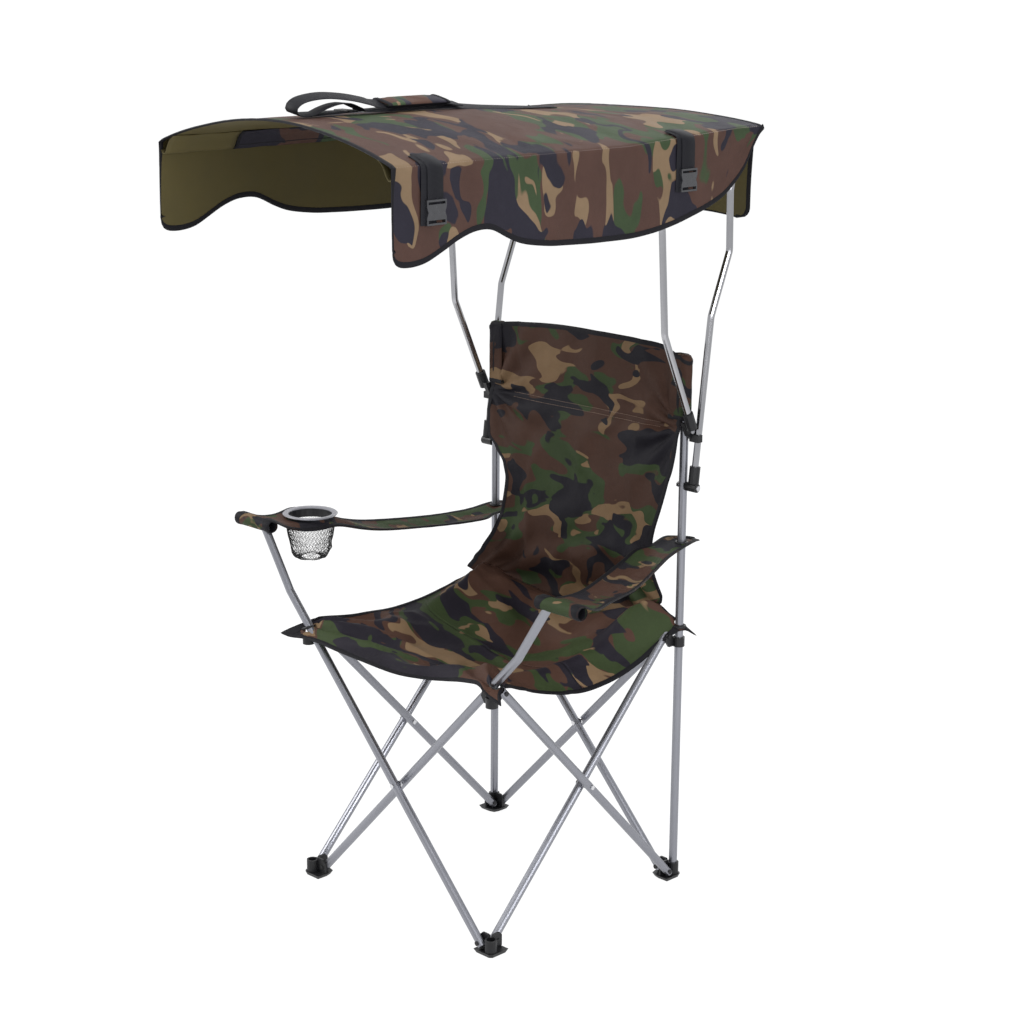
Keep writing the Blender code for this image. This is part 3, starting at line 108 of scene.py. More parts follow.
def seen_white(owner, shader, output, share, mirrored):
    """Makes a surface plain white for the camera, and in part in what metal reflects."""
    tree = owner.node_tree
    path = add(tree, "ShaderNodeLightPath").outputs
    glossy = maths("MULTIPLY", path["Is Glossy Ray"], mirrored)
    part = maths("MULTIPLY", maths("MAXIMUM", path["Is Camera Ray"], glossy), share)
    white = add(tree, "ShaderNodeEmission", {"Color": (1, 1, 1, 1), "Strength": 1.16}).outputs[0]
    under = tree.nodes[shader].outputs[0]
    mixed = add(tree, "ShaderNodeMixShader", {0: part, 1: under, 2: white})
    join(mixed.outputs[0], tree.nodes[output].inputs["Surface"])


def shown(name, data):
    """An object put into the scene."""
    piece = bpy.data.objects.new(name, data)
    bpy.context.scene.collection.objects.link(piece)
    return piece


def built(name, bm, *materials):
    """An object in the scene made from an edited mesh."""
    mesh = bpy.data.meshes.new(name)
    bm.to_mesh(mesh)
    bm.free()
    for material in materials:
        mesh.materials.append(material)
    return shown(name, mesh)


def keep_flat(mesh, places):
    """Lets a mesh remember where each of its points lies on the flat cloth."""
    known = mesh.attributes.new("flat_cloth", "FLOAT_VECTOR", "POINT")
    known.data.foreach_set("vector", [value for place in places for value in place])


def meshed(name, points, faces, *materials, flat=None, sharp=None):
    """A smooth piece made of points and faces; edges over the sharp angle stay sharp."""
    mesh = bpy.data.meshes.new(name)
    mesh.from_pydata([tuple(point) for point in points], [], faces)
    for material in materials:
        mesh.materials.append(material)
    if flat:
        keep_flat(mesh, flat)
    mesh.shade_smooth()
    if sharp:
        mesh.set_sharp_from_angle(angle=math.radians(sharp))
    return shown(name, mesh)


floor_white = plain("studio_white", (0.86, 0.86, 0.86), 0.9, specular=0.1)
seen_white(floor_white, "Principled BSDF", "Material Output", 0.80, 0.5)
floor = meshed(
    "studio_floor", [(-30, -30, 0), (30, -30, 0), (30, 30, 0), (-30, 30, 0)], [(0, 1, 2, 3)], floor_white
)

world = bpy.data.worlds.new("studio_surround")
bpy.context.scene.world = world
world.use_nodes = True
glow = world.node_tree.nodes["Background"].inputs
glow["Color"].default_value = (0.96, 0.98, 1.0, 1)
glow["Strength"].default_value = 0.50
seen_white(world, "Background", "World Output", 1.0, 0.4)

chair_middle = Vector((0, 0, 0.75))
for name, place, across, power, colour in (
    ("lamp_left", (-2.6, -2.2, 2.6), 1.5, 74, (1.0, 0.99, 0.97)),
    ("lamp_right", (3.2, -1.0, 1.9), 1.3, 50, (0.97, 0.98, 1.0)),
    ("lamp_above", (0.3, -0.6, 3.9), 2.0, 46, (1.0, 1.0, 1.0)),
    ("lamp_behind", (-0.8, 3.2, 2.4), 2.6, 30, (1.0, 1.0, 1.0)),
):
    light = bpy.data.lights.new(name, "AREA")
    light.shape = "SQUARE"
    light.size = across
    light.energy = power
    light.color = colour
    lamp = shown(name, light)
    lamp.location = place
    lamp.rotation_euler = (chair_middle - Vector(place)).to_track_quat("-Z", "Y").to_euler()

bpy.context.scene.view_settings.view_transform = "Standard"


# The camera stands front left of the sitter at chest height, as for the photograph: a short
# telephoto lens, a little above the seat, with the near front foot lowest in the frame.

post_low, post_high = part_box("left_post")
half_pitch = (post_low.x + post_high.x) / 2
middle_y = (post_low.y + post_high.y) / 2 - half_pitch


def at(x, y, z):
    """A point given by its place from the middle of the four feet."""
    return Vector((x, y + middle_y, z))


camera_data = bpy.data.cameras.new("camera")
camera_data.lens = 77.4
camera_data.sensor_width = 36
camera = shown("camera", camera_data)
camera_turn, camera_tip, camera_roll = (math.radians(v) for v in (44.95, 14.73, 0.38))
level_reach = math.cos(camera_tip)
outward = Vector(
    (math.sin(camera_turn) * level_reach, -math.cos(camera_turn) * level_reach, math.sin(camera_tip))
)
aim = outward.to_track_quat("Z", "Y").to_matrix().to_4x4()
camera.matrix_world = (
    Matrix.Translation(at(2.836, -2.794, 1.780)) @ aim @ Matrix.Rotation(camera_roll, 4, "Z")
)
bpy.context.scene.camera = camera


# Steel tubes: eight crossed tubes and two posts, 16 mm mild steel, powder coated in a satin silver
# grey. The coat is a little uneven, and rubbed brighter here and there.

def noise_map(place, scale, detail, rough=0.5, twist=0.0, kind="FBM", output="Fac"):
    """Soft noise over a place."""
    values = {"Vector": place, "Scale": scale, "Detail": detail, "Roughness": rough, "Distortion": twist}
    return add(place.id_data, "ShaderNodeTexNoise", values, noise_type=kind).outputs[output]


def spread(value, low, high, to_low=0.0, to_high=1.0):
    """A value stretched from one range to another, and held within it."""
    values = {"Value": value, "From Min": low, "From Max": high, "To Min": to_low, "To Max": to_high}
    return add(value.id_data, "ShaderNodeMapRange", values).outputs[0]


def blend(share, low, high):
    """Two colours mixed by a value."""
    inputs = {0: share, 6: low, 7: high}
    return add(share.id_data, "ShaderNodeMix", inputs, data_type="RGBA").outputs[2]


def finish(name, dark, light, size, glosses, metallic=0.0, specular=0.5):
    """A finish with slow changes of tone and of roughness, in patches of a size."""
    material = plain(name, dark, glosses[0], metallic, specular)
    place = add(material.node_tree, "ShaderNodeTexCoord").outputs["Object"]
    patch = noise_map(place, 1 / size, 4.0, 0.6)
    join(blend(patch, (*dark, 1), (*light, 1)), surface(material)["Base Color"])
    join(spread(patch, 0.3, 0.7, *glosses), surface(material)["Roughness"])
    return material


silver_coat = finish(
    "silver_grey_coat", (0.27, 0.275, 0.305), (0.33, 0.335, 0.37), 0.09, (0.27, 0.35), metallic=0.9
)


def dress(name, material, rounding=0.0):
    """Gives a frame part its finish, with its sharp moulded edges rounded off."""
    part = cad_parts[name]
    part.data.materials.clear()
    part.data.materials.append(material)
    if rounding:
        edge = part.modifiers.new("rounded_edges", "BEVEL")
        edge.width = rounding
        edge.segments = 2
        edge.limit_method = "ANGLE"
        edge.angle_limit = math.radians(40)
        edge.harden_normals = True


for side in ("front", "rear", "left", "right"):
    for lie in ("outer", "inner"):
        dress(f"{side}_{lie}_tube", silver_coat)
for hand in ("left", "right"):
    dress(f"{hand}_post", silver_coat)


# Crossing rivets and the canopy's bolts: zinc-plated steel, set by a machine, with round heads.
# The plating is slightly clouded, so that no two heads shine quite alike.

zinc = finish("zinc_plate", (0.60, 0.60, 0.62), (0.80, 0.80, 0.82), 0.004, (0.22, 0.38), metallic=1.0)
for side in ("front", "rear", "left", "right"):
    dress(f"{side}_cross_rivet", zinc, 0.0004)
for hand in ("left", "right"):
    for place in ("upper", "lower"):
        dress(f"{hand}_{place}_bolt", zinc, 0.0004)


# Feet and hubs: injection-moulded black polypropylene. Each foot has a flat sole and each rear hub
# slides on its post, and all carry a riveted wing for each of the two tubes that meet there.

def bumped(height, depth, strength, below=None):
    """A surface direction raised by a height, over another such direction if one is given."""
    values = {"Height": height, "Distance": depth, "Strength": strength}
    if below is not None:
        values["Normal"] = below
    return add(height.id_data, "ShaderNodeBump", values).outputs[0]


def grained(material, size, depth, strength, detail=2.0):
    """Fine bumps all over a finish."""
    place = add(material.node_tree, "ShaderNodeTexCoord").outputs["Object"]
    peel = noise_map(place, 1 / size, detail)
    join(bumped(peel, depth, strength), surface(material)["Normal"])


black_plastic = finish(
    "black_moulding", (0.007, 0.007, 0.008), (0.015, 0.015, 0.017), 0.02, (0.32, 0.50), specular=0.38
)
grained(black_plastic, 0.0006, 0.00008, 0.35)
for corner in ("rear_left", "rear_right", "front_left", "front_right"):
    dress(f"{corner}_foot", black_plastic, 0.0007)
    dress(f"{corner}_hub", black_plastic, 0.0006)


# Seat: two layers of coated Oxford polyester printed in woodland camouflage, hung by eyelets in its
# four corners. The front arm posts and the rear posts pass through them. Black tape is sewn round
# its edge, and the cloth sags into a hollow with folds drawn out from the corners.

def through(places, count, parts=24):
    """Evenly spaced points on a smooth curve through the places, measured in parts of each span."""
    knots = [Vector(place) for place in places]
    knots = [knots[0] * 2 - knots[1], *knots, knots[-1] * 2 - knots[-2]]
    fine = []
    for a, b, c, d in zip(knots, knots[1:], knots[2:], knots[3:]):
        for step in range(parts):
            t = step / parts
            fine.append(0.5 * (
                2 * b + (c - a) * t + (2 * a - 5 * b + 4 * c - d) * t**2 + (3 * b - a - 3 * c + d) * t**3
            ))
    fine.append(knots[-2])
    run = [0.0]
    for a, b in zip(fine, fine[1:]):
        run.append(run[-1] + (b - a).length)
    made = []
    spot = 0
    for step in range(count):
        want = run[-1] * step / (count - 1)
        while spot < len(fine) - 2 and run[spot + 1] < want:
            spot += 1
        span = max(run[spot + 1] - run[spot], 1e-9)
        made.append(fine[spot].lerp(fine[spot + 1], (want - run[spot]) / span))
    return made


def cloth(name, rows, thickness, outer, inner=None, start=(0, 0)):
    """A sheet of cloth on a grid of points, which remembers its own flat length and width."""
    wide = len(rows[0])
    across, down = [start[0]], [start[1]]
    for b in range(1, wide):
        across.append(across[-1] + sum((row[b] - row[b - 1]).length for row in rows) / len(rows))
    for row, last in zip(rows[1:], rows):
        down.append(down[-1] + sum((p - q).length for p, q in zip(row, last)) / wide)
    faces = [
        (first, first + 1, first + wide + 1, first + wide)
        for a in range(len(rows) - 1)
        for first in range(a * wide, (a + 1) * wide - 1)
    ]
    points = [point for row in rows for point in row]
    places = [(u, v, 0.0) for v in down for u in across]
    piece = meshed(name, points, faces, outer, inner or outer, flat=places)
    body = piece.modifiers.new("cloth_thickness", "SOLIDIFY")
    body.thickness = thickness
    body.offset = 0.0
    body.material_offset = 1
    body.material_offset_rim = 1
    return piece


def shifted(operation, first, second):
    """A vector changed by another one, or by a number for SCALE."""
    inputs = {0: first, ("Scale" if operation == "SCALE" else 1): second}
    return add(first.id_data, "ShaderNodeVectorMath", inputs, operation=operation).outputs[0]


def cloth_place(material):
    """Where a point lies on the flat cloth, or along the flat strap."""
    attribute = add(material.node_tree, "ShaderNodeAttribute", attribute_name="flat_cloth")
    return attribute.outputs["Vector"]


def bands(place, scale, twist, direction):
    """Fine parallel bands in the cloth's own direction X or Y."""
    return add(
        place.id_data, "ShaderNodeTexWave", {"Vector": place, "Scale": scale, "Distortion": twist},
        wave_type="BANDS", bands_direction=direction,
    ).outputs["Fac"]


def camouflage(name, tones, blotch, seed, rumple=0.026):
    """Woodland print: brown cloth with green, sand and dark blotches, on a plain weave."""
    brown, green, sand, dark = tones
    material = plain(name, brown, 0.60, specular=0.14)
    flat = cloth_place(material)
    stretched = add(
        material.node_tree, "ShaderNodeMapping",
        {"Vector": flat, "Location": (seed * 3.1, seed * 1.7, seed),
         "Scale": (1 / blotch[0], 1 / blotch[1], 1)},
    ).outputs[0]
    drift = shifted("SUBTRACT", noise_map(stretched, 1.6, 1.0, output="Color"), (0.5, 0.5, 0.5))
    warped = shifted("ADD", stretched, shifted("SCALE", drift, 1.3))
    colour = (*brown, 1)
    for tone, offset, scale, level in (
        (green, (11.3, 4.1, 2.7), 1.0, 0.535),
        (sand, (3.7, 19.2, 8.4), 1.15, 0.60),
        (dark, (27.1, 8.8, 14.9), 1.25, 0.565),
    ):
        field = noise_map(shifted("ADD", warped, offset), scale, 1.5, 0.42, 0.35)
        edge = spread(field, level - 0.004, level + 0.004)
        colour = blend(edge, colour, (*tone, 1))
    worn = spread(noise_map(flat, 14.0, 5.0, 0.65), 0.25, 0.75, 0.86, 1.14)
    weave = maths("MULTIPLY", bands(flat, 330.0, 0.4, "X"), bands(flat, 330.0, 0.4, "Y"))
    thread = spread(weave, 0.0, 1.0, 0.93, 1.10)
    printed = shifted("SCALE", colour, maths("MULTIPLY", worn, thread))
    join(printed, surface(material)["Base Color"])
    folds = noise_map(flat, 8.0, 3.0, 0.5, 0.7, "RIDGED_MULTIFRACTAL")
    creased = bumped(noise_map(flat, 38.0, 3.0, 0.5, 0.8), 0.003, 0.35, bumped(folds, rumple, 0.8))
    join(bumped(weave, 0.00025, 0.45, creased), surface(material)["Normal"])
    return material


seat_print = camouflage(
    "seat_camouflage",
    ((0.088, 0.044, 0.031), (0.046, 0.066, 0.026), (0.250, 0.162, 0.090), (0.022, 0.019, 0.027)),
    (0.155, 0.085), 3.0,
)
black_tape = finish(
    "black_edge_tape", (0.006, 0.0056, 0.0075), (0.013, 0.0125, 0.016), 0.006, (0.56, 0.74), specular=0.16
)
grained(black_tape, 0.0009, 0.00025, 0.5)


def skin(rings, around, first=0, looped=False):
    """Faces between rings of points that lie one after another, or that close into a hoop."""
    faces = []
    for a in range(rings if looped else rings - 1):
        low, high = first + a * around, first + (a + 1) % rings * around
        for b in range(around):
            after = (b + 1) % around
            quad = (low + b, low + after, high + after, high + b)
            faces.append((quad[0], *quad[:0:-1]) if looped else quad)
    return faces


def capped(rings, around):
    """Faces of a bar with closed ends."""
    last = (rings - 1) * around
    return skin(rings, around) + [tuple(range(around)), tuple(range(last + around - 1, last - 1, -1))]


tape_section = (
    (1.0, 0.72), (0.55, 1.0), (0.12, 0.95), (-0.12, 0.0), (0.12, -0.95), (0.55, -1.0), (1.0, -0.72)
)


def edge_tape(name, line, inward, facing, body=None, width=0.0085, half=0.0017, tips=()):
    """Woven tape folded over a cloth edge, with its own slight puckers and wider at the tips."""
    points = []
    for point, into, face in zip(line, inward, facing):
        pucker = 1 + 0.16 * noise.noise(point * 90)
        near = max([0.0] + [1 - (point - tip).length / reach for tip, reach in tips])
        deep = width * (1 + 1.6 * min(1.0, 1.7 * near))
        for along, up in tape_section:
            points.append(point + into * (along * deep) + face * (up * half * pucker))
    piece = meshed(name, points, capped(len(line), len(tape_section)), black_tape, sharp=55)
    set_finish(piece, "black_webbing")
    if body:
        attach(piece, body)
    return piece


def border(rows, which):
    """One edge of a grid of points, with directions into the cloth and out of its face."""
    line, inner = {
        "first": (rows[0], rows[1]),
        "last": (rows[-1], rows[-2]),
        "left": ([row[0] for row in rows], [row[1] for row in rows]),
        "right": ([row[-1] for row in rows], [row[-2] for row in rows]),
    }[which]
    inward = [(b - a).normalized() for a, b in zip(line, inner)]
    facing = []
    for spot, into in enumerate(inward):
        before = line[max(spot - 1, 0)]
        after = line[min(spot + 1, len(line) - 1)]
        facing.append((after - before).cross(into).normalized())
    return line, inward, facing


def joined_border(rows, order=(("left", "<"), ("first", ">"), ("right", ">"))):
    """Several edges of a grid run together, each name with > or < for its direction."""
    line, inward, facing = [], [], []
    for which, way in order:
        a, b, c = border(rows, which)
        if way == "<":
            a, b, c = a[::-1], b[::-1], [-face for face in c[::-1]]
        if line:
            inward[-1] = (inward[-1] + b[0]).normalized()
            a, b, c = a[1:], b[1:], c[1:]
        line, inward, facing = line + a, inward + b, facing + c
    return line, inward, facing


def ripple(x, y, z):
    """Smooth unevenness, between about -1 and 1, that is the same each time."""
    return noise.noise(Vector((x, y, z)))


def gather(point, corner, reach, depth, count, turn):
    """Height of folds that fan out from a corner and die away."""
    away = point - corner
    distance = max(away.xy.length, 0.012)
    angle = math.atan2(away.y, away.x)
    fade = math.exp(-distance / reach) * min(1.0, distance / 0.03)
    return depth * fade * math.cos(angle * count + turn + 1.4 * noise.noise(away * 9))


def crisp(x, y, seed, depth):
    """Narrow creases between soft pillows."""
    ridge = 1 - min(1.0, 3.2 * abs(ripple(x, y, seed)))
    return depth * ridge**2.2 * (0.5 + ripple(x * 0.4, y * 0.4, seed + 5))


seat_front_edge = (
    (-0.288, -0.282, 0.492), (-0.262, -0.277, 0.489), (-0.235, -0.273, 0.491),
    (-0.190, -0.274, 0.493), (-0.132, -0.280, 0.493), (-0.050, -0.286, 0.493),
    (0.032, -0.281, 0.489), (0.090, -0.263, 0.489), (0.130, -0.249, 0.492),
    (0.170, -0.243, 0.497), (0.215, -0.248, 0.502), (0.252, -0.262, 0.496),
    (0.293, -0.270, 0.492),
)
seat_rear_edge = (
    (-0.267, 0.267, 0.509), (-0.252, 0.259, 0.515), (-0.236, 0.236, 0.529),
    (-0.213, 0.196, 0.548), (-0.160, 0.205, 0.531), (-0.080, 0.226, 0.510),
    (0.0, 0.234, 0.502), (0.080, 0.233, 0.507), (0.160, 0.229, 0.527),
    (0.211, 0.226, 0.556), (0.236, 0.242, 0.532), (0.252, 0.259, 0.513),
    (0.271, 0.271, 0.494),
)
seat_left_edge = (
    (0.293, -0.270, 0.492), (0.270, -0.248, 0.502), (0.246, -0.210, 0.499),
    (0.222, -0.150, 0.474), (0.216, -0.070, 0.446), (0.215, 0.010, 0.428),
    (0.217, 0.090, 0.429), (0.224, 0.165, 0.450), (0.242, 0.222, 0.492),
    (0.258, 0.248, 0.507), (0.271, 0.271, 0.494),
)
seat_right_edge = (
    (-0.288, -0.282, 0.492), (-0.266, -0.256, 0.508), (-0.249, -0.226, 0.517),
    (-0.228, -0.150, 0.514), (-0.216, -0.070, 0.512), (-0.214, 0.0, 0.516),
    (-0.216, 0.080, 0.526), (-0.220, 0.150, 0.534), (-0.238, 0.215, 0.530),
    (-0.255, 0.250, 0.515), (-0.267, 0.267, 0.509),
)
tip_reach = 0.046
seat_tips = [
    (at(*tip), tip_reach) for tip in (seat_left_edge[-1], seat_right_edge[0], seat_right_edge[-1])
]
seat_steps = 92
front_line, rear_line, left_line, right_line = (
    through(edge, seat_steps + 1)
    for edge in (seat_front_edge, seat_rear_edge, seat_left_edge, seat_right_edge)
)


def seat_height(point, u, v):
    """Sag of the seat's middle with its folds."""
    hollow = 0.020 * (1 - (2 * u - 1) ** 2) * (1 - (2 * v - 1) ** 4)
    folds = 0.0
    for x, y, count, turn in (
        (-0.25, -0.25, 13, 0.4), (0.25, -0.25, 12, 1.9), (0.25, 0.25, 14, 0.9), (-0.25, 0.25, 12, 2.6)
    ):
        folds += gather(point, Vector((x, y, 0.5)), 0.14, 0.0130, count, turn)
    slack = 0.0060 * ripple(point.x * 9, point.y * 5, 1.7)
    slack += 0.0022 * ripple(point.x * 24, point.y * 17, 5.2)
    slack += crisp(point.x * 4 + point.y * 3, point.y * 9 - point.x * 4, 3.1, 0.0110)
    rim = min(u, 1 - u, v, 1 - v)
    past = max(0.0, abs(point.x) - 0.24) + max(0.0, abs(point.y) - 0.24)
    return -hollow + (folds + slack) * min(1.0, 0.22 + rim * 9) * max(0.1, 1 - past / 0.03)


seat_grid = []
for a in range(seat_steps + 1):
    v = a / seat_steps
    row = []
    for b in range(seat_steps + 1):
        u = b / seat_steps
        edges = (
            front_line[b] * (1 - v) + rear_line[b] * v + right_line[a] * (1 - u) + left_line[a] * u
        )
        corners = (
            (front_line[0] * (1 - u) + front_line[-1] * u) * (1 - v)
            + (rear_line[0] * (1 - u) + rear_line[-1] * u) * v
        )
        point = edges - corners
        point.z += seat_height(point, u, v)
        row.append(at(*point))
    seat_grid.append(row)


def pierced(piece, holes, clear, near=0.03):
    """Opens round holes in a cloth where tubes pass through it; cloth further off than near stays."""
    bm = bmesh.new()
    bm.from_mesh(piece.data)
    for middle, way in holes:
        gone = []
        for face in bm.faces:
            off = face.calc_center_median() - middle
            if (off - way * off.dot(way)).length < clear * 0.72 and abs(off.dot(way)) < near:
                gone.append(face)
        bmesh.ops.delete(bm, geom=gone, context="FACES")
        for vertex in bm.verts:
            off = vertex.co - middle
            side = off - way * off.dot(way)
            if side.length < clear and abs(off.dot(way)) < near:
                vertex.co += side.normalized() * (clear - side.length)
    bm.to_mesh(piece.data)
    bm.free()


def turned(radius, angle, z):
    """A point at an angle round an upright axis."""
    return Vector((radius * math.cos(angle), radius * math.sin(angle), z))


def eyelet(name, middle, way, body, ring=0.0084, bead=0.0035):
    """A pressed eyelet round a tube."""
    around, section = 28, 8
    turn = way.to_track_quat("Z", "Y").to_matrix()
    points = []
    for a in range(around):
        for b in range(section):
            tip = math.tau * b / section
            radius = ring + bead * (1 + math.cos(tip)) * 0.75
            point = turned(radius, math.tau * a / around, bead * 0.8 * math.sin(tip))
            points.append(middle + turn @ point)
    piece = meshed(name, points, skin(around, section, looped=True), black_plastic)
    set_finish(piece, "black_moulding")
    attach(piece, body)
    return piece


upright = Vector((0, 0, 1))
middle_row = min(
    range(seat_steps + 1), key=lambda a: abs(seat_grid[a][seat_steps // 2].y - middle_y)
)
arm_slope = Vector((0.451, 0, 0.475)).normalized()
front_holes = (
    (at(0.2426, -0.2322, 0.507), arm_slope),
    (at(-0.2426, -0.2530, 0.507), Vector((-arm_slope.x, 0, arm_slope.z))),
)
rear_holes = (
    (at(half_pitch, half_pitch, 0.5125), upright),
    (at(-half_pitch, half_pitch, 0.5125), upright),
)
seat_thick = 0.0016
corner_points = 13
for name, rows, holes, cut, start in (
    ("seat_front", seat_grid[: middle_row + 1], front_holes, (0.47, 0.30), (0, 0)),
    ("seat_rear", seat_grid[middle_row:], rear_holes, (0.46, 0.25), (0, 0.285)),
):
    panel = cloth(f"{name}_cloth", rows, seat_thick, seat_print, start=start)
    pierced(panel, holes, 0.0090)
    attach(panel, name)
    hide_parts(name)
    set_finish(panel, "camouflage_cloth")
    tapes = []
    if name == "seat_front":
        tapes.append(edge_tape("seat_front_tape", *joined_border(rows), name, tips=seat_tips))
    else:
        for which, turn in (("left", 1), ("right", -1)):
            line, inward, facing = border(rows, which)
            ends, ends_in, ends_face = border([row[::turn] for row in rows], "last")
            same_way = facing[-1].dot(ends_face[0])
            line = line + ends[1:corner_points]
            inward = inward[:-1] + [(inward[-1] + ends_in[0]).normalized()] + ends_in[1:corner_points]
            facing = facing + [face * same_way for face in ends_face[1:corner_points]]
            tapes.append(edge_tape(f"seat_rear_{which}_tape", line, inward, facing, name, tips=seat_tips))
    for piece in (panel, *tapes):
        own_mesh(piece)
    for (middle, way), hand in zip(holes, ("left", "right")):
        ring = eyelet(f"{name}_eyelet_{hand}", middle, (way + upright).normalized(), name)
        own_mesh(ring)


# Back: the same cloth slung between the rear posts. Sleeves sewn along its sides slip over the post
# tops, a pocket seam crosses below the head, and the cloth draws in to a waist above the seat.

back_print = camouflage(
    "back_camouflage",
    ((0.053, 0.026, 0.018), (0.030, 0.046, 0.018), (0.165, 0.104, 0.056), (0.011, 0.010, 0.014)),
    (0.150, 0.092), 8.0,
)
back_profile = (
    (1.052, 0.2370, 0.2372), (1.000, 0.2470, 0.2368), (0.950, 0.2470, 0.2366), (0.905, 0.2470, 0.2362),
    (0.880, 0.2440, 0.2310), (0.850, 0.2390, 0.2250), (0.820, 0.2300, 0.2190), (0.790, 0.2170, 0.2140),
    (0.750, 0.2060, 0.2110), (0.700, 0.2000, 0.2105), (0.650, 0.2020, 0.2130), (0.610, 0.2100, 0.2180),
    (0.570, 0.2190, 0.2250), (0.540, 0.2230, 0.2310), (0.506, 0.2200, 0.2350),
)
back_across, back_down = 84, 128
back_line = through([Vector((half, y, z)) for z, half, y in back_profile], back_down + 1)


def bell(offset, width):
    """One at the middle, falling away smoothly within the width."""
    return math.exp(-((offset / width) ** 2))


def clamped(value):
    """The value held between 0 and 1."""
    return max(0.0, min(1.0, value))


def back_relief(x, z, share):
    """How far the back cloth stands forward of its even surface, with its folds."""
    ease = min(1.0, (1 - abs(share)) * 6)
    away = 0.010 * (1 - share**2) * max(0.0, math.sin(math.pi * (1.03 - z) / 0.52))
    crease = -0.0035 * bell(x + 0.178, 0.006) * clamped((z - 0.86) * 12)
    seam = -0.0020 * bell(z - 0.9 + 0.02 * x, 0.004)
    lower = max(0.0, (0.93 - z) / 0.42)
    flat = Vector((x, z, 0))
    fans = 0.0
    for side, turn in ((1, 0.7), (-1, 2.2)):
        for level, count, depth in ((0.895, 11, 0.0100), (0.52, 13, 0.0160)):
            fans += gather(flat, Vector((side * 0.25, level, 0)), 0.12, depth, count, turn)
    drape = 0.0065 * lower * ripple(x * 11 + z * 4, z * 6, 3.3)
    drape += 0.0030 * ripple(x * 20, z * 13, 9.1)
    hang = 0.0050 * lower * ripple(x * 26, z * 3.2, 6.4)
    hang += crisp(x * 8 - z * 3, z * 4 + x * 4, 6.6, 0.0140 * (0.25 + 0.75 * lower))
    return -away + crease + seam + (fans + drape + hang) * ease


back_slack = (
    (0.930, 0.0), (0.905, 0.006), (0.880, 0.011), (0.850, 0.0195), (0.830, 0.026), (0.810, 0.032),
    (0.790, 0.021), (0.760, 0.006), (0.730, 0.0), (0.620, 0.0), (0.570, 0.008), (0.540, 0.018),
    (0.506, 0.030),
)


def right_slack(z):
    """How much further out the right edge of the back hangs, where its cloth is loose."""
    for (top, before), (foot, after) in zip(back_slack, back_slack[1:]):
        if foot <= z <= top:
            share = (top - z) / (top - foot)
            return before + (after - before) * share * share * (3 - 2 * share)
    return 0.0 if z > 0.7 else back_slack[-1][1]


head_z, waist_z = 0.905, 0.765
back_grid = []
for edge in back_line:
    row = []
    for b in range(back_across + 1):
        share = 2 * b / back_across - 1
        z = edge.z
        x = edge.x * share + 0.025 * bell(z - waist_z, 0.085)
        x -= right_slack(z) * max(0.0, -share) ** 2
        if z > head_z:
            z -= (0.018 * share**2 if share < 0 else 0.018 * share**7) * (z - head_z) / 0.147
        low = clamped((0.66 - z) / 0.154)
        z += (0.035 if x < 0 else 0.050) * low**2 * abs(share) ** 4 - 0.009 * low**2 * (1 - share**2)
        curl = (0.064 if x < 0 else 0.006) * low * abs(share) ** 2.5
        row.append(at(x, edge.y - curl - back_relief(x, z, share), z))
    back_grid.append(row)

back_cloth = cloth("back_cloth", back_grid, seat_thick, back_print)
back_tape = edge_tape("back_tape", *joined_border(back_grid))
sleeve_top, sleeve_foot, sleeve_steps = 1.0345, 0.9130, 30


def post_sleeve(side):
    """The sleeve of one side, closed at the top: from the seam in front round the post to the seam behind."""
    rows = []
    for a in range(sleeve_steps + 1):
        z = sleeve_top - (sleeve_top - sleeve_foot) * a / sleeve_steps
        bulge = 0.0112 + 0.0006 * ripple(side * 3, z * 40, 2.0)
        shape = [(-0.0290, -0.0135), (-0.0200, -0.0138)]
        for b in range(17):
            angle = math.radians(-110 + 220 * b / 16)
            lean = bulge + 0.0022 * max(0.0, -math.sin(angle))
            shape.append((lean * math.cos(angle), lean * math.sin(angle)))
        shape += [(-0.0180, 0.0045), (-0.0280, -0.0085)]
        row = [Vector((half_pitch + x, half_pitch + y, z)) for x, y in shape]
        if a == 0:
            centre = Vector((half_pitch, half_pitch, 0))
            for inward, level in ((0.97, sleeve_top), (0.60, 1.0340), (0.26, 1.0322)):
                ring = [p.lerp(centre, inward) for p in row]
                rows.append([at(side * p.x, p.y, level) for p in ring])
        for p in row:
            p.z -= 0.011 * (1 - a / sleeve_steps) * max(0.0, (p.x - half_pitch + 0.006) / 0.017)
        rows.append([at(side * p.x, p.y, p.z) for p in row])
    return rows


hands = ((1, "left"), (-1, "right"))
for (side, hand), across in zip(hands, (0.45, 0.02)):
    rows = post_sleeve(side)
    sleeve = cloth(f"back_{hand}_sleeve", rows, 0.0014, back_print, start=(across, 0.0))
    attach(sleeve, f"rear_{hand}_upright")
    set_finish(sleeve, "camouflage_cloth")
    for which, level in (("first", "top"), ("last", "foot")):
        band = edge_tape(
            f"back_{hand}_sleeve_{level}_tape", *border(rows[3:], which), width=0.0075, half=0.0015
        )
        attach(band, f"rear_{hand}_upright")


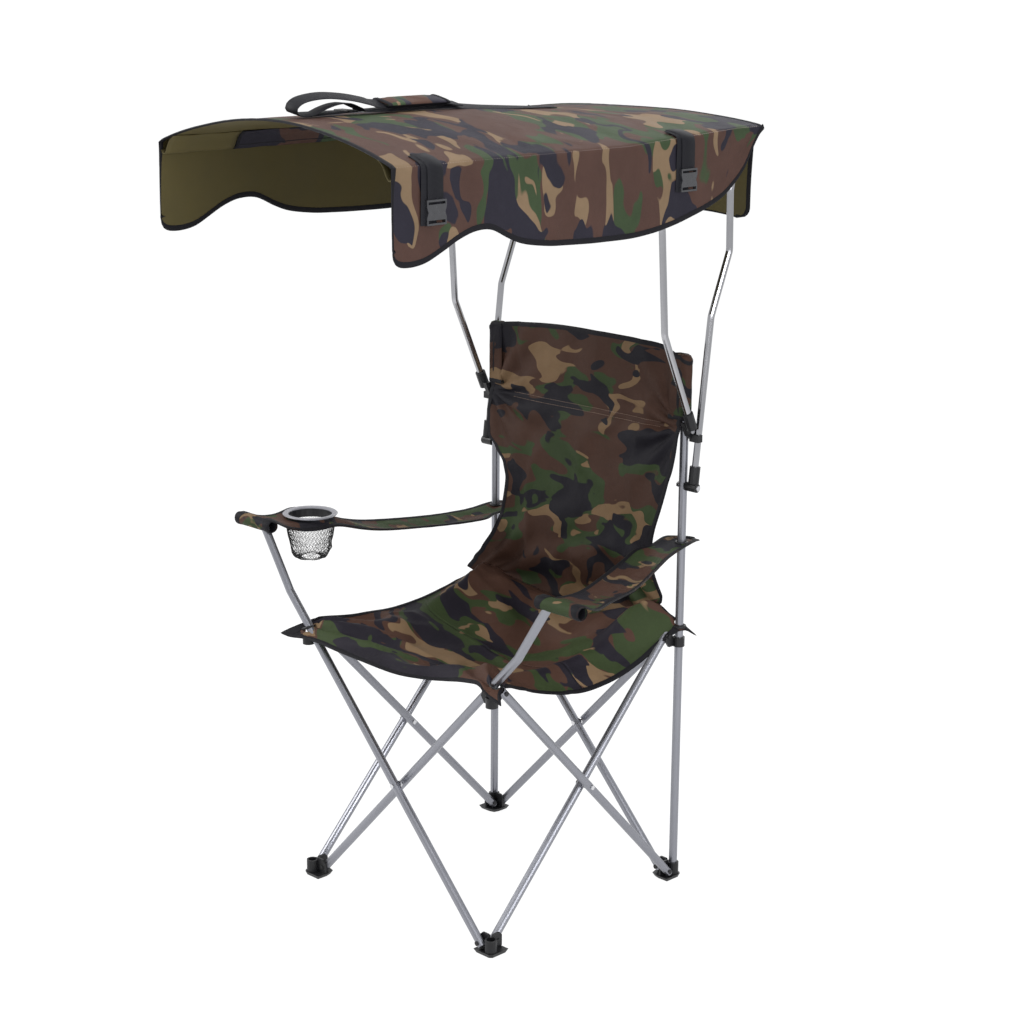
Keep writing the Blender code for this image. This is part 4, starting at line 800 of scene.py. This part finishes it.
def stitch_row(name, line, way, thread, pitch=0.0046, length=0.0030, thick=0.00045):
    """A line of machine stitches laid on the side of a cloth that faces a way."""
    points, faces = [], []
    run = 0.0
    wanted = pitch / 2
    face = Vector(way)
    for start, end in zip(line, line[1:]):
        span = (end - start).length
        while wanted < run + span:
            along = (end - start).normalized()
            middle = start + along * (wanted - run)
            across = along.cross(face).normalized()
            first = len(points)
            for step, wide in ((-0.5, 0.35), (-0.2, 1.0), (0.2, 1.0), (0.5, 0.35)):
                core = middle + along * (length * step)
                for out, up in ((1, 0), (0, 1), (-1, 0), (0, -1)):
                    points.append(core + across * (out * thick * wide) + face * (up * thick * wide))
            faces += skin(4, 4, first)
            faces += [tuple(first + b for b in (3, 2, 1, 0)), tuple(first + b for b in (12, 13, 14, 15))]
            wanted += pitch
        run += span
    piece = meshed(name, points, faces, thread)
    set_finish(piece, "camouflage_cloth")
    return piece


sand_thread = finish("sand_thread", (0.22, 0.15, 0.115), (0.32, 0.22, 0.17), 0.002, (0.6, 0.8))
seams = []
pocket_row = min(range(back_down), key=lambda a: abs(back_line[a].z - 0.900))
for spot, row in enumerate(back_grid[pocket_row : pocket_row + 4 : 2]):
    line = [point + Vector((0, -0.0013, 0)) for point in row[10:-9]]
    seams.append(stitch_row(f"back_pocket_stitches_{spot}", line, (0, -1, 0), sand_thread))

for piece in (back_cloth, back_tape, *seams):
    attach(piece, "rear_left_upright")
    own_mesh(piece)
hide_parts("back")
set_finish(back_cloth, "camouflage_cloth")


# Arms: thicker strips of the same cloth. Each has an eyelet on its post behind and is rolled round
# the end of its arm post in front, with tape along both long edges.

arm_print = camouflage(
    "arm_camouflage",
    ((0.070, 0.035, 0.025), (0.036, 0.054, 0.022), (0.205, 0.135, 0.075), (0.017, 0.016, 0.021)),
    (0.105, 0.075), 13.0,
)
arm_stations = (
    (0.0, 0.452, 0.604), (0.085, 0.464, 0.614), (0.16, 0.446, 0.634), (0.30, 0.500, 0.695),
    (0.52, 0.595, 0.800), (0.74, 0.700, 0.885), (0.92, 0.760, 0.985), (1.0, 0.775, 1.0),
)
arm_reach, roll_inner, roll_z, roll_radius = 0.445, 0.345, 0.684, 0.0112
arm_along, arm_across, roll_steps = 110, 24, 18
cup_x, cup_y = 0.368, -0.140


def arm_rows(side, plane, rear_z):
    """The strip's grid from behind its post to its roll over the arm post."""
    front = -plane + 0.0083
    inner = [Vector((0.225, 0.300, rear_z - 0.004)), Vector((0.208, 0.268, rear_z))]
    outer = [Vector((0.251, 0.297, rear_z - 0.005)), Vector((0.262, 0.276, rear_z))]
    for share, low, high in arm_stations:
        y = half_pitch + (front - half_pitch) * share
        z = rear_z + (roll_z - rear_z) * share - 0.021 * 4 * share * (1 - share)
        z += 0.0105 * max(0.0, (share - 0.9) / 0.1)
        inner.append(Vector((arm_reach * low, y, z)))
        outer.append(Vector((arm_reach * high, y, z)))
    inner, outer = through(inner, arm_along), through(outer, arm_along)
    if side < 0:
        for line, way in ((inner, -1), (outer, 1)):
            for point in line:
                near = bell(point.y - cup_y, 0.060)
                point.x += near * (cup_x + way * 0.0620 - point.x)
                point.z += near * (0.6845 - point.z)
    rows = []
    for a in range(arm_along):
        row = []
        for b in range(arm_across + 1):
            u = b / arm_across
            point = inner[a].lerp(outer[a], u)
            trough = -0.0060 * math.sin(math.pi * u) * math.sin(math.pi * min(1, a / 100))
            pull = 0.0022 * ripple(point.x * 16, point.y * 7, side * 4.0)
            pull += 0.0012 * ripple(point.x * 40, point.y * 22, side * 9.0)
            roll = 0.0016 * math.sin(u * 9 + a * 0.05 + side) * math.sin(math.pi * a / (arm_along - 1))
            lift = trough + (pull + roll) * min(1, 4 * u, 4 * (1 - u))
            if side < 0:
                near = bell(point.y - cup_y, 0.085)
                lift = lift * (1 - near) - 0.0150 * near * max(0.0, 1 - u / 0.17)
            row.append(at(side * point.x, point.y, point.z + lift))
        rows.append(row)
    for step in range(1, roll_steps + 1):
        angle = math.radians(90 + 306 * step / roll_steps)
        y, z = -plane + roll_radius * math.cos(angle), roll_z + roll_radius * math.sin(angle)
        rows.append(
            [at(side * (roll_inner + 0.100 * b / arm_across), y, z) for b in range(arm_across + 1)]
        )
    return rows


for side, hand, plane, rear_z, keep in (
    (1, "left", 0.2322, 0.677, 0.51), (-1, "right", 0.2530, 0.657, 0.54)
):
    rows = arm_rows(side, plane, rear_z)
    strip = cloth(f"{hand}_arm_cloth", rows, 0.0022, arm_print, start=(0.3 * side, 0.4))
    behind = at(side * half_pitch, half_pitch, rear_z)
    pierced(strip, [(behind, upright)], 0.0095)
    if side < 0:
        pierced(strip, [(at(-cup_x, cup_y, 0.680), upright)], 0.0462)
    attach(strip, f"{hand}_arm")
    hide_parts(f"{hand}_arm")
    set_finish(strip, "camouflage_cloth")
    last = rows[arm_along - 1]
    tape = edge_tape(
        f"{hand}_arm_tape", *joined_border(rows), f"{hand}_arm", width=0.0080, half=0.0019,
        tips=[(rows[0][12], 0.040), (last[0], 0.030), (last[-1], 0.030)],
    )
    ring = eyelet(f"{hand}_arm_eyelet", behind, upright, f"{hand}_arm", ring=0.0092, bead=0.0022)
    top = at(side * 0.3705, -plane, roll_z)
    for piece in (strip, tape, ring):
        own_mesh(piece)


# Cup holder: a stepped ring pressed into the right arm, grey at its rim and coloured near black below it,
# and a slack pocket of black knotted net under it, drawn together at its base.

grey_plastic = finish("grey_moulding", (0.26, 0.26, 0.29), (0.36, 0.36, 0.39), 0.01, (0.28, 0.40))
ring_place = add(grey_plastic.node_tree, "ShaderNodeTexCoord").outputs["Generated"]
ring_height = add(grey_plastic.node_tree, "ShaderNodeSeparateXYZ", {0: ring_place}).outputs["Z"]
ring_tone = surface(grey_plastic)["Base Color"]
rim_tone = ring_tone.links[0].from_socket
join(blend(spread(ring_height, 0.80, 0.83), (0.012, 0.012, 0.014, 1), rim_tone), ring_tone)
dress("cup_ring", grey_plastic, 0.0005)

net_cord = finish("black_net_cord", (0.008, 0.008, 0.009), (0.022, 0.022, 0.024), 0.004, (0.5, 0.7))
cup = at(-cup_x, cup_y, 0)


def net_radius(share):
    """Radius of the net pocket from its top, share 0, to the middle of its floor, share 1."""
    if share < 0.5:
        return 0.0470 + 0.0006 * share - 0.0070 * (share / 0.5) ** 2
    return 0.0400 * math.sqrt(max(0.0, 1 - ((share - 0.5) / 0.5) ** 2.2)) + 0.0002


def net_height(share):
    """Height of the net pocket at the same share."""
    return 0.6740 - 0.0745 * min(1.0, share / 0.84) ** 0.95


net_bm = bmesh.new()
net_round, net_deep = 40, 17
rings = []
for a in range(net_deep):
    share = a / (net_deep - 1) * 0.955
    slack = max(0.0, 1 - abs(share - 0.62) / 0.30)
    ring = []
    for b in range(net_round):
        place = turned(1, math.tau * (b + 0.5 * (a % 2)) / net_round, 0)
        bulge = 0.10 * slack * noise.noise(place * 3.4 + Vector((0, 0, a * 0.5)))
        drop = 0.0085 * slack * noise.noise(place * 2.6 + Vector((4, 0, a * 0.35)))
        spot = cup + place * (net_radius(share) * (1 + bulge)) + upright * (net_height(share) + drop)
        ring.append(net_bm.verts.new(spot))
    rings.append(ring)
for a in range(net_deep - 2):
    for b in range(net_round):
        low = b if a % 2 == 0 else (b + 1) % net_round
        net_bm.faces.new((rings[a][low], rings[a + 1][low], rings[a + 2][low], rings[a + 1][low - 1]))
net_piece = built("cup_net_cords", net_bm, net_cord)
cords = net_piece.modifiers.new("knotted_cords", "WIREFRAME")
cords.thickness = 0.0010
cords.use_even_offset = False
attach(net_piece, "right_arm")
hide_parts("cup_net")
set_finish(net_piece, "black_net")

band_round, band_radius, band_high, band_thick = 48, 0.0474, 0.0040, 0.0016
band_section = ((-1, -0.8), (0, -1), (1, -0.8), (1, 0.8), (0, 1), (-1, 0.8))
band_points = [
    cup + upright * 0.6735
    + turned(band_radius + out * band_thick / 2, math.tau * a / band_round, up * band_high / 2)
    for a in range(band_round)
    for out, up in band_section
]
top_band = meshed(
    "cup_net_top_band", band_points, skin(band_round, len(band_section), looped=True), net_cord
)
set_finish(top_band, "black_net")
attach(top_band, "right_arm")


# Canopy rods: two bent rods of bright plated steel on each side, bolted to the post below through
# a moulded elbow and cap, and capped with moulded fittings that hold the rail in the cloth.

plate_finish = finish(
    "bright_plate", (0.38, 0.38, 0.40), (0.47, 0.47, 0.49), 0.09, (0.12, 0.20), metallic=1.0
)
for hand in ("left", "right"):
    for name in ("front_rod", "rear_rod", "rail"):
        dress(f"{hand}_{name}", plate_finish)
    for name in ("elbow", "rod_cap", "front_fitting", "rear_fitting"):
        dress(f"{hand}_{name}", black_plastic, 0.0006)


# Canopy: one roof of lighter camouflage cloth with an olive backing, arched between two rails. Its
# sides hang down as flaps with a waved hem, and a flap with rounded corners hangs from its rear edge.

roof_print = camouflage(
    "canopy_camouflage",
    ((0.080, 0.043, 0.034), (0.044, 0.066, 0.032), (0.220, 0.150, 0.090), (0.023, 0.021, 0.031)),
    (0.17, 0.105), 21.0, rumple=0.010,
)
olive_lining = finish(
    "olive_lining", (0.074, 0.060, 0.023), (0.107, 0.086, 0.029), 0.09, (0.6, 0.75), specular=0.25
)
grained(olive_lining, 0.0011, 0.0003, 0.3, 3.0)

roof_front, roof_rear, flap_x = -0.5195, 0.3860, 0.2989
roof_crown, roof_shoulder, roof_thick = 1.4830, 1.4300, 0.0014
hem_places = (
    (-0.5195, 1.300), (-0.5175, 1.286), (-0.5110, 1.2785), (-0.4980, 1.2745), (-0.4740, 1.2740),
    (-0.4460, 1.2790), (-0.4120, 1.2940), (-0.3780, 1.3100), (-0.3450, 1.3190), (-0.3070, 1.3180),
    (-0.2660, 1.3000), (-0.2310, 1.2880), (-0.1800, 1.2800), (-0.1360, 1.2770), (-0.0500, 1.2738),
    (0.0400, 1.2740), (0.1200, 1.2830), (0.1980, 1.3000), (0.2550, 1.3180), (0.2930, 1.3380),
    (0.3290, 1.3680), (0.3560, 1.4080), (0.3730, 1.4300), (0.3860, 1.4400),
)
hem_line = through([Vector((0, y, z)) for y, z in hem_places], 150)


def roof_height(x, y):
    """The arched roof, which sinks and flattens towards the rear."""
    part = (y - roof_front) / (roof_rear - roof_front)
    fall = sum(
        drop * clamped((part - low) / (high - low))
        for low, high, drop in ((0.424, 0.66, 0.0090), (0.66, 0.897, 0.0090), (0.897, 1.0, 0.0030))
    )
    shoulder = roof_shoulder + 0.015 * clamped((part - 0.6) / 0.32)
    return shoulder + (roof_crown - fall - shoulder) * (1 - (x / flap_x) ** 2)


def roof_relief(x, y):
    """Soft pulls and hollows in the roof cloth."""
    pulls = 0.0022 * ripple(x * 7, y * 4.5, 1.1)
    pulls += 0.0012 * ripple(x * 5 + y * 9, y * 16, 7.7)
    wave = math.sin(y * 34 + 2.2 * ripple(x * 3, y * 2, 4))
    return pulls + 0.0016 * wave * (abs(x) / flap_x) ** 3


flap_steps, roof_steps = 20, 72


def flap_points(side, y, hem_z):
    """One line down a side flap, from its hem up to the roof's edge."""
    top = roof_height(flap_x, y)
    line = []
    for b in range(flap_steps):
        down = 1 - b / flap_steps
        z = top + (hem_z - top) * down
        swing = 0.0040 * down * ripple(side * 2.0, y * 7.0, 3.0)
        swing += 0.0030 * down * math.sin(y * 26 + side) * ripple(y * 3, side * 5.0, 1.0)
        swing += 0.0012 * ripple(y * 22, z * 14, side * 8.0)
        line.append(at(side * (flap_x + swing + 0.003 * down), y, z))
    return line


canopy_grid = []
for spot in hem_line:
    y = spot.y
    arch = []
    for b in range(roof_steps + 1):
        x = flap_x * (1 - 2 * b / roof_steps)
        soften = -0.0016 if b in (0, roof_steps) else 0.0
        arch.append(at(x, y, roof_height(x, y) + roof_relief(x, y) * (1 - (x / flap_x) ** 8) + soften))
    row = flap_points(1, y, spot.z) + arch + flap_points(-1, y, spot.z)[::-1]
    canopy_grid.append(row[::-1])
roof_cloth = cloth("canopy_roof_and_flaps", canopy_grid, roof_thick, roof_print, olive_lining)

rear_half, rear_drop, rear_down, rear_across = 0.281, 0.1780, 32, 60
rear_grid = []
for a in range(rear_down + 1):
    down = a / rear_down
    width = rear_half * (1 - 0.03 * math.sin(math.pi * min(1, down * 1.4) / 2))
    if down > 0.86:
        width -= 0.034 * (1 - math.sqrt(max(0.0, 1 - ((down - 0.86) / 0.14) ** 2)))
    row = []
    for b in range(rear_across + 1):
        x = width * (1 - 2 * b / rear_across)
        fold = 0.0035 * down * math.sin(x * 40 + 1.5 * ripple(x * 4, 0, 2))
        fold += 0.002 * ripple(x * 12, down * 2, 5)
        z = roof_height(x, roof_rear) - rear_drop * down - 0.0005
        row.append(at(x, roof_rear - 0.0004 + 0.007 * down + fold * down, z))
    rear_grid.append(row)
rear_flap = cloth("canopy_rear_flap", rear_grid, roof_thick, olive_lining, roof_print, start=(0.18, 0.95))

roof_only = [row[flap_steps:-flap_steps] for row in canopy_grid]
flap_edges = (("left", ">"), ("last", ">"), ("right", "<"))
canopy_pieces = [
    roof_cloth,
    rear_flap,
    edge_tape("canopy_hem_tape", *joined_border(canopy_grid), width=0.0088, half=0.0018),
    edge_tape("canopy_rear_flap_tape", *joined_border(rear_grid, flap_edges)),
    edge_tape("canopy_rear_seam_tape", *border(roof_only, "last"), width=0.0070, half=0.0018),
]


def rail_channel(name, side, start, end, material):
    """Cloth sewn under the roof, that hangs round the rail as a narrow channel."""
    rows = []
    count = max(6, round((end - start) / 0.012))
    for a in range(count + 1):
        y = start + (end - start) * a / count
        top = roof_height(0.262, y) - 0.0012
        shape = through(
            [(0.2620, y, top), (0.2740, y, (top + 1.4155) / 2 + 0.003), (0.2835, y, 1.4145),
             (0.2890, y, 1.4090), (0.2945, y, 1.4095), (0.2972, y, 1.4150)],
            15,
        )
        wave = 0.0010 * ripple(y * 30, side * 3.0, 0.5)
        rows.append([at(side * p.x, p.y, p.z + wave) for p in shape[::side]])
    canopy_pieces.append(cloth(name, rows, 0.0012, material))
    return rows


for side, hand in hands:
    rail_channel(f"{hand}_rail_front_channel", side, -0.5165, -0.3680, olive_lining)
    for spot, (start, end) in enumerate(((-0.3650, 0.1060), (0.1500, 0.3220))):
        name = f"{hand}_rail_channel_{spot}"
        rows = rail_channel(name, side, start, end, roof_print)
        turn = 10 if side > 0 else 4
        line = [row[turn] for row in rows]
        inward = [(row[turn - side] - row[turn]).normalized() for row in rows]
        facing = [Vector((side * 0.2, 0, -1)).normalized()] * len(rows)
        canopy_pieces += [
            edge_tape(f"{name}_tape", line, inward, facing, width=0.0075, half=0.0012),
            edge_tape(f"{name}_mouth_tape", *border(rows, "first"), width=0.006, half=0.0012),
        ]

pale_thread = finish("pale_thread", (0.28, 0.23, 0.20), (0.42, 0.34, 0.30), 0.002, (0.6, 0.8))
for (side, hand), column in zip(hands, (flap_steps, flap_steps + roof_steps)):
    line = [row[column] + Vector((side * 0.0012, 0, 0.0010)) for row in canopy_grid[4:]]
    canopy_pieces.append(
        stitch_row(
            f"{hand}_shoulder_stitches", line, (side * 0.7, 0, 0.7), pale_thread,
            pitch=0.0054, length=0.0034, thick=0.0006,
        )
    )

for piece in canopy_pieces:
    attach(piece, "left_rail")
    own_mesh(piece)
    if "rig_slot" not in piece:
        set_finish(piece, "pale_camouflage_cloth")
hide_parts("canopy")


# Side straps: black ribbed polypropylene webbing, sewn down on the roof by its tab. The top layer
# ends in the buckle on the flap, and a second layer hangs behind it, for rolling the canopy up.

webbing_colour = (0.008, 0.008, 0.011)
black_webbing = plain("black_webbing", webbing_colour, 0.6, specular=0.2)
ribs = bands(cloth_place(black_webbing), 170.0, 0.3, "Y")
# Painted shade and highlight: the hollows between the ribs are coloured darker and the raised ribs lighter.
hollow, raised = ((*(value * gain for value in webbing_colour), 1) for gain in (0.7, 1.5))
join(blend(ribs, hollow, raised), surface(black_webbing)["Base Color"])
join(bumped(ribs, 0.0004, 0.5), surface(black_webbing)["Normal"])

webbing_section = (
    (-1, 0), (-0.94, 1), (0, 1.08), (0.94, 1), (1, 0), (0.94, -1), (0, -1.08), (-0.94, -1)
)


def webbing(name, places, across, width, thick, count):
    """A flat strap along a smooth path; across gives the direction of its width at each place."""
    line = through(places, count)
    sides = through(across, count)
    points, flat = [], []
    run = 0.0
    for spot, point in enumerate(line):
        if spot:
            run += (point - line[spot - 1]).length
        before, after = line[max(spot - 1, 0)], line[min(spot + 1, count - 1)]
        way = (after - before).normalized()
        wide = (sides[spot] - way * sides[spot].dot(way)).normalized()
        face = wide.cross(way).normalized()
        for out, up in webbing_section:
            points.append(point + wide * (out * width / 2) + face * (up * thick / 2))
            flat.append((out * width / 2, run, 0.0))
    faces = capped(count, len(webbing_section))
    piece = meshed(name, points, faces, black_webbing, flat=flat, sharp=60)
    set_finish(piece, "black_webbing")
    return piece


glossy_plastic = finish(
    "glossy_moulding", (0.022, 0.022, 0.026), (0.042, 0.042, 0.048), 0.01, (0.18, 0.30), specular=0.9
)
side_strap = {"across": [(0, 1, 0)] * 6, "width": 0.034, "thick": 0.0016, "count": 34}
for side, hand in hands:
    for place, y, buckle_top in (("front", -0.433, 1.376), ("rear", 0.173, 1.383)):
        above = roof_height(0.268, y) + 0.0035
        edge = roof_height(flap_x, y)
        name = f"{hand}_{place}_webbing"
        top_path = (
            (0.2640, y, above), (0.2860, y, roof_height(0.286, y) + 0.0042),
            (0.3010, y, edge + 0.0005), (0.3048, y, edge - 0.010),
            (0.3052, y, buckle_top + 0.02), (0.3056, y, buckle_top - 0.005),
        )
        under_path = (
            (0.2700, y - 0.009, above - 0.0015), (0.2880, y - 0.009, roof_height(0.288, y) + 0.0026),
            (0.2995, y - 0.010, edge), (0.3026, y - 0.011, edge - 0.012),
            (0.3030, y - 0.012, edge - 0.05), (0.3032, y - 0.013, buckle_top - 0.040),
        )
        top, under = (
            webbing(title, [at(side * out, along, z) for out, along, z in path], **side_strap)
            for title, path in ((name, top_path), (f"{name}_behind", under_path))
        )
        for piece in (top, under):
            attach(piece, f"{hand}_rail")
        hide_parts(f"{hand}_{place}_strap")
        dress(f"{hand}_{place}_buckle", glossy_plastic, 0.0009)


# Shoulder strap: the same webbing, sewn down along the middle of the roof. Its loose length is
# doubled over in two loops at the front and runs back through a padded sleeve and a slider.

def above_crown(y, up):
    """A point over the middle of the roof, a little above its cloth."""
    return at(0.0, y, roof_height(0, y) + 0.0012 + up)


strap_places = (
    (0.141, 0.0010, 0.0), (0.080, 0.0010, 0.0), (0.020, 0.0012, 0.0), (-0.030, 0.0016, 0.0),
    (-0.075, 0.0030, 0.15), (-0.104, 0.0048, 0.25), (-0.133, 0.0052, 0.28), (-0.200, 0.0055, 0.28),
    (-0.277, 0.0058, 0.28), (-0.353, 0.0060, 0.26), (-0.430, 0.0055, 0.20), (-0.458, 0.0060, 0.10),
    (-0.4700, 0.0125, 0.0), (-0.4640, 0.0235, 0.10), (-0.4430, 0.0310, 0.30), (-0.4010, 0.0340, 0.42),
    (-0.3500, 0.0290, 0.42), (-0.3070, 0.0205, 0.36), (-0.2840, 0.0150, 0.28), (-0.2050, 0.0120, 0.20),
    (-0.133, 0.0120, 0.20), (-0.1150, 0.0100, 0.20), (-0.0950, 0.0085, 0.20),
)
loose_strap = webbing(
    "shoulder_strap_webbing",
    [above_crown(y, up) for y, up, roll in strap_places],
    [(math.cos(roll), 0, -math.sin(roll)) for y, up, roll in strap_places],
    width=0.032, thick=0.0019, count=150,
)
tail_places = (
    (-0.1950, 0.0030), (-0.3100, 0.0042), (-0.3320, 0.0110), (-0.3560, 0.0195), (-0.3800, 0.0200),
    (-0.4050, 0.0150), (-0.4300, 0.0065), (-0.4420, 0.0030),
)
strap_tail = webbing(
    "shoulder_strap_tail",
    [above_crown(y, up) + Vector((0.004, 0, 0)) for y, up in tail_places],
    [(1, 0, 0)] * len(tail_places), width=0.030, thick=0.0017, count=60,
)
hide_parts("shoulder_strap")

pad_print = camouflage(
    "pad_camouflage",
    ((0.095, 0.052, 0.040), (0.048, 0.078, 0.038), (0.240, 0.165, 0.100), (0.030, 0.028, 0.040)),
    (0.09, 0.06), 34.0,
)
pad_length, pad_width, pad_high = 0.140, 0.045, 0.0105
pad_along, pad_around = 36, 32
pad_middle = above_crown(-0.203, 0.0112 + pad_high / 2)
pad_roll = Matrix.Rotation(0.20, 3, "Y")
pad_rows = []
for a in range(pad_along + 1):
    along = -1 + 2 * a / pad_along
    fat = 0.45 + 0.55 * (1 - abs(along) ** 5)
    row = []
    for b in range(pad_around + 1):
        turn = math.tau * b / pad_around
        side, up = math.cos(turn), math.sin(turn)
        squared = max(abs(side), abs(up)) ** 0.35
        x, z = pad_width / 2 * side / squared, pad_high / 2 * up / squared * fat
        row.append(pad_middle + pad_roll @ Vector((x, pad_length / 2 * along, z)))
    pad_rows.append(row)


def settled(piece):
    """The mesh that a piece's modifiers make, with the modifiers taken off."""
    bpy.context.view_layer.update()
    evaluated = piece.evaluated_get(bpy.context.evaluated_depsgraph_get())
    mesh = bpy.data.meshes.new_from_object(evaluated)
    piece.modifiers.clear()
    return mesh


def filled(name, rows, outer, under, cap, pinned):
    """A closed pad, swollen by its filling in a short cloth simulation."""
    bm = bmesh.new()
    rings = [[bm.verts.new(point) for point in row[:-1]] for row in rows]
    for low, high in zip(rings, rings[1:]):
        for b in range(len(low)):
            bm.faces.new((low[b - 1], low[b], high[b], high[b - 1]))
    bm.faces.new(rings[0])
    bm.faces.new(rings[-1][::-1])
    bmesh.ops.recalc_face_normals(bm, faces=bm.faces)
    piece = built(name, bm)
    fine = piece.modifiers.new("even_mesh", "REMESH")
    fine.mode = "VOXEL"
    fine.voxel_size = 0.004
    piece.data = settled(piece)
    starts = [vert.co.copy() for vert in piece.data.vertices]
    ends = (rows[0][0].y + pinned, rows[-1][0].y - pinned)
    group = piece.vertex_groups.new(name="sewn_ends")
    group.add([k for k, p in enumerate(starts) if not ends[0] < p.y < ends[1]], 1.0, "REPLACE")
    swell = piece.modifiers.new("filling", "CLOTH").settings
    swell.use_pressure = True
    swell.uniform_pressure_force = 4
    swell.quality = 6
    swell.vertex_group_mass = "sewn_ends"
    swell.effector_weights.gravity = 0
    for frame_number in range(1, 21):
        bpy.context.scene.frame_set(frame_number)
    piece.data = settled(piece)
    bpy.context.scene.frame_set(1)
    for vert, start in zip(piece.data.vertices, starts):
        moved = vert.co - start
        if moved.length > cap:
            vert.co = start + moved * (cap / moved.length)
    rounder = piece.modifiers.new("smooth", "SUBSURF")
    rounder.levels = 1
    rounder.render_levels = 1
    piece.data = settled(piece)
    keep_flat(piece.data, [(vert.co.x, vert.co.y, 0.0) for vert in piece.data.vertices])
    piece.data.materials.append(outer)
    piece.data.materials.append(under)
    for face in piece.data.polygons:
        face.material_index = int(face.normal.z < -0.25)
        face.use_smooth = True
    return piece


pad = filled("shoulder_pad", pad_rows, pad_print, black_tape, cap=0.005, pinned=0.008)
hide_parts("strap_pad")
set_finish(pad, "camouflage_cloth")
pad_tapes = [
    edge_tape(f"shoulder_pad_tape_{which}", *border(pad_rows, which), width=0.0065, half=0.0014)
    for which in ("first", "last")
]

slider_y, slider_half = -0.353, (0.0195, 0.0100, 0.0030)
slider_bm = bmesh.new()
for low, high in (
    ((-1, -1), (-0.86, 1)), ((0.86, -1), (1, 1)), ((-1, -1), (1, -0.62)), ((-1, 0.62), (1, 1)),
    ((-1, -0.16), (1, 0.16)),
):
    size = Matrix.Diagonal(
        ((high[0] - low[0]) * slider_half[0], (high[1] - low[1]) * slider_half[1], slider_half[2], 1)
    )
    centre = above_crown(slider_y, 0.0075) + Vector(
        ((high[0] + low[0]) / 2 * slider_half[0], (high[1] + low[1]) / 2 * slider_half[1], 0)
    )
    bmesh.ops.create_cube(slider_bm, size=1, matrix=Matrix.Translation(centre) @ size)
slider = built("strap_slider_frame", slider_bm, black_plastic)
soft = slider.modifiers.new("rounded_edges", "BEVEL")
soft.width = 0.0008
soft.segments = 2
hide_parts("strap_slider")
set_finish(slider, "black_moulding")
for piece in (loose_strap, strap_tail, pad, *pad_tapes, slider):
    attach(piece, "left_rail")
    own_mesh(piece)
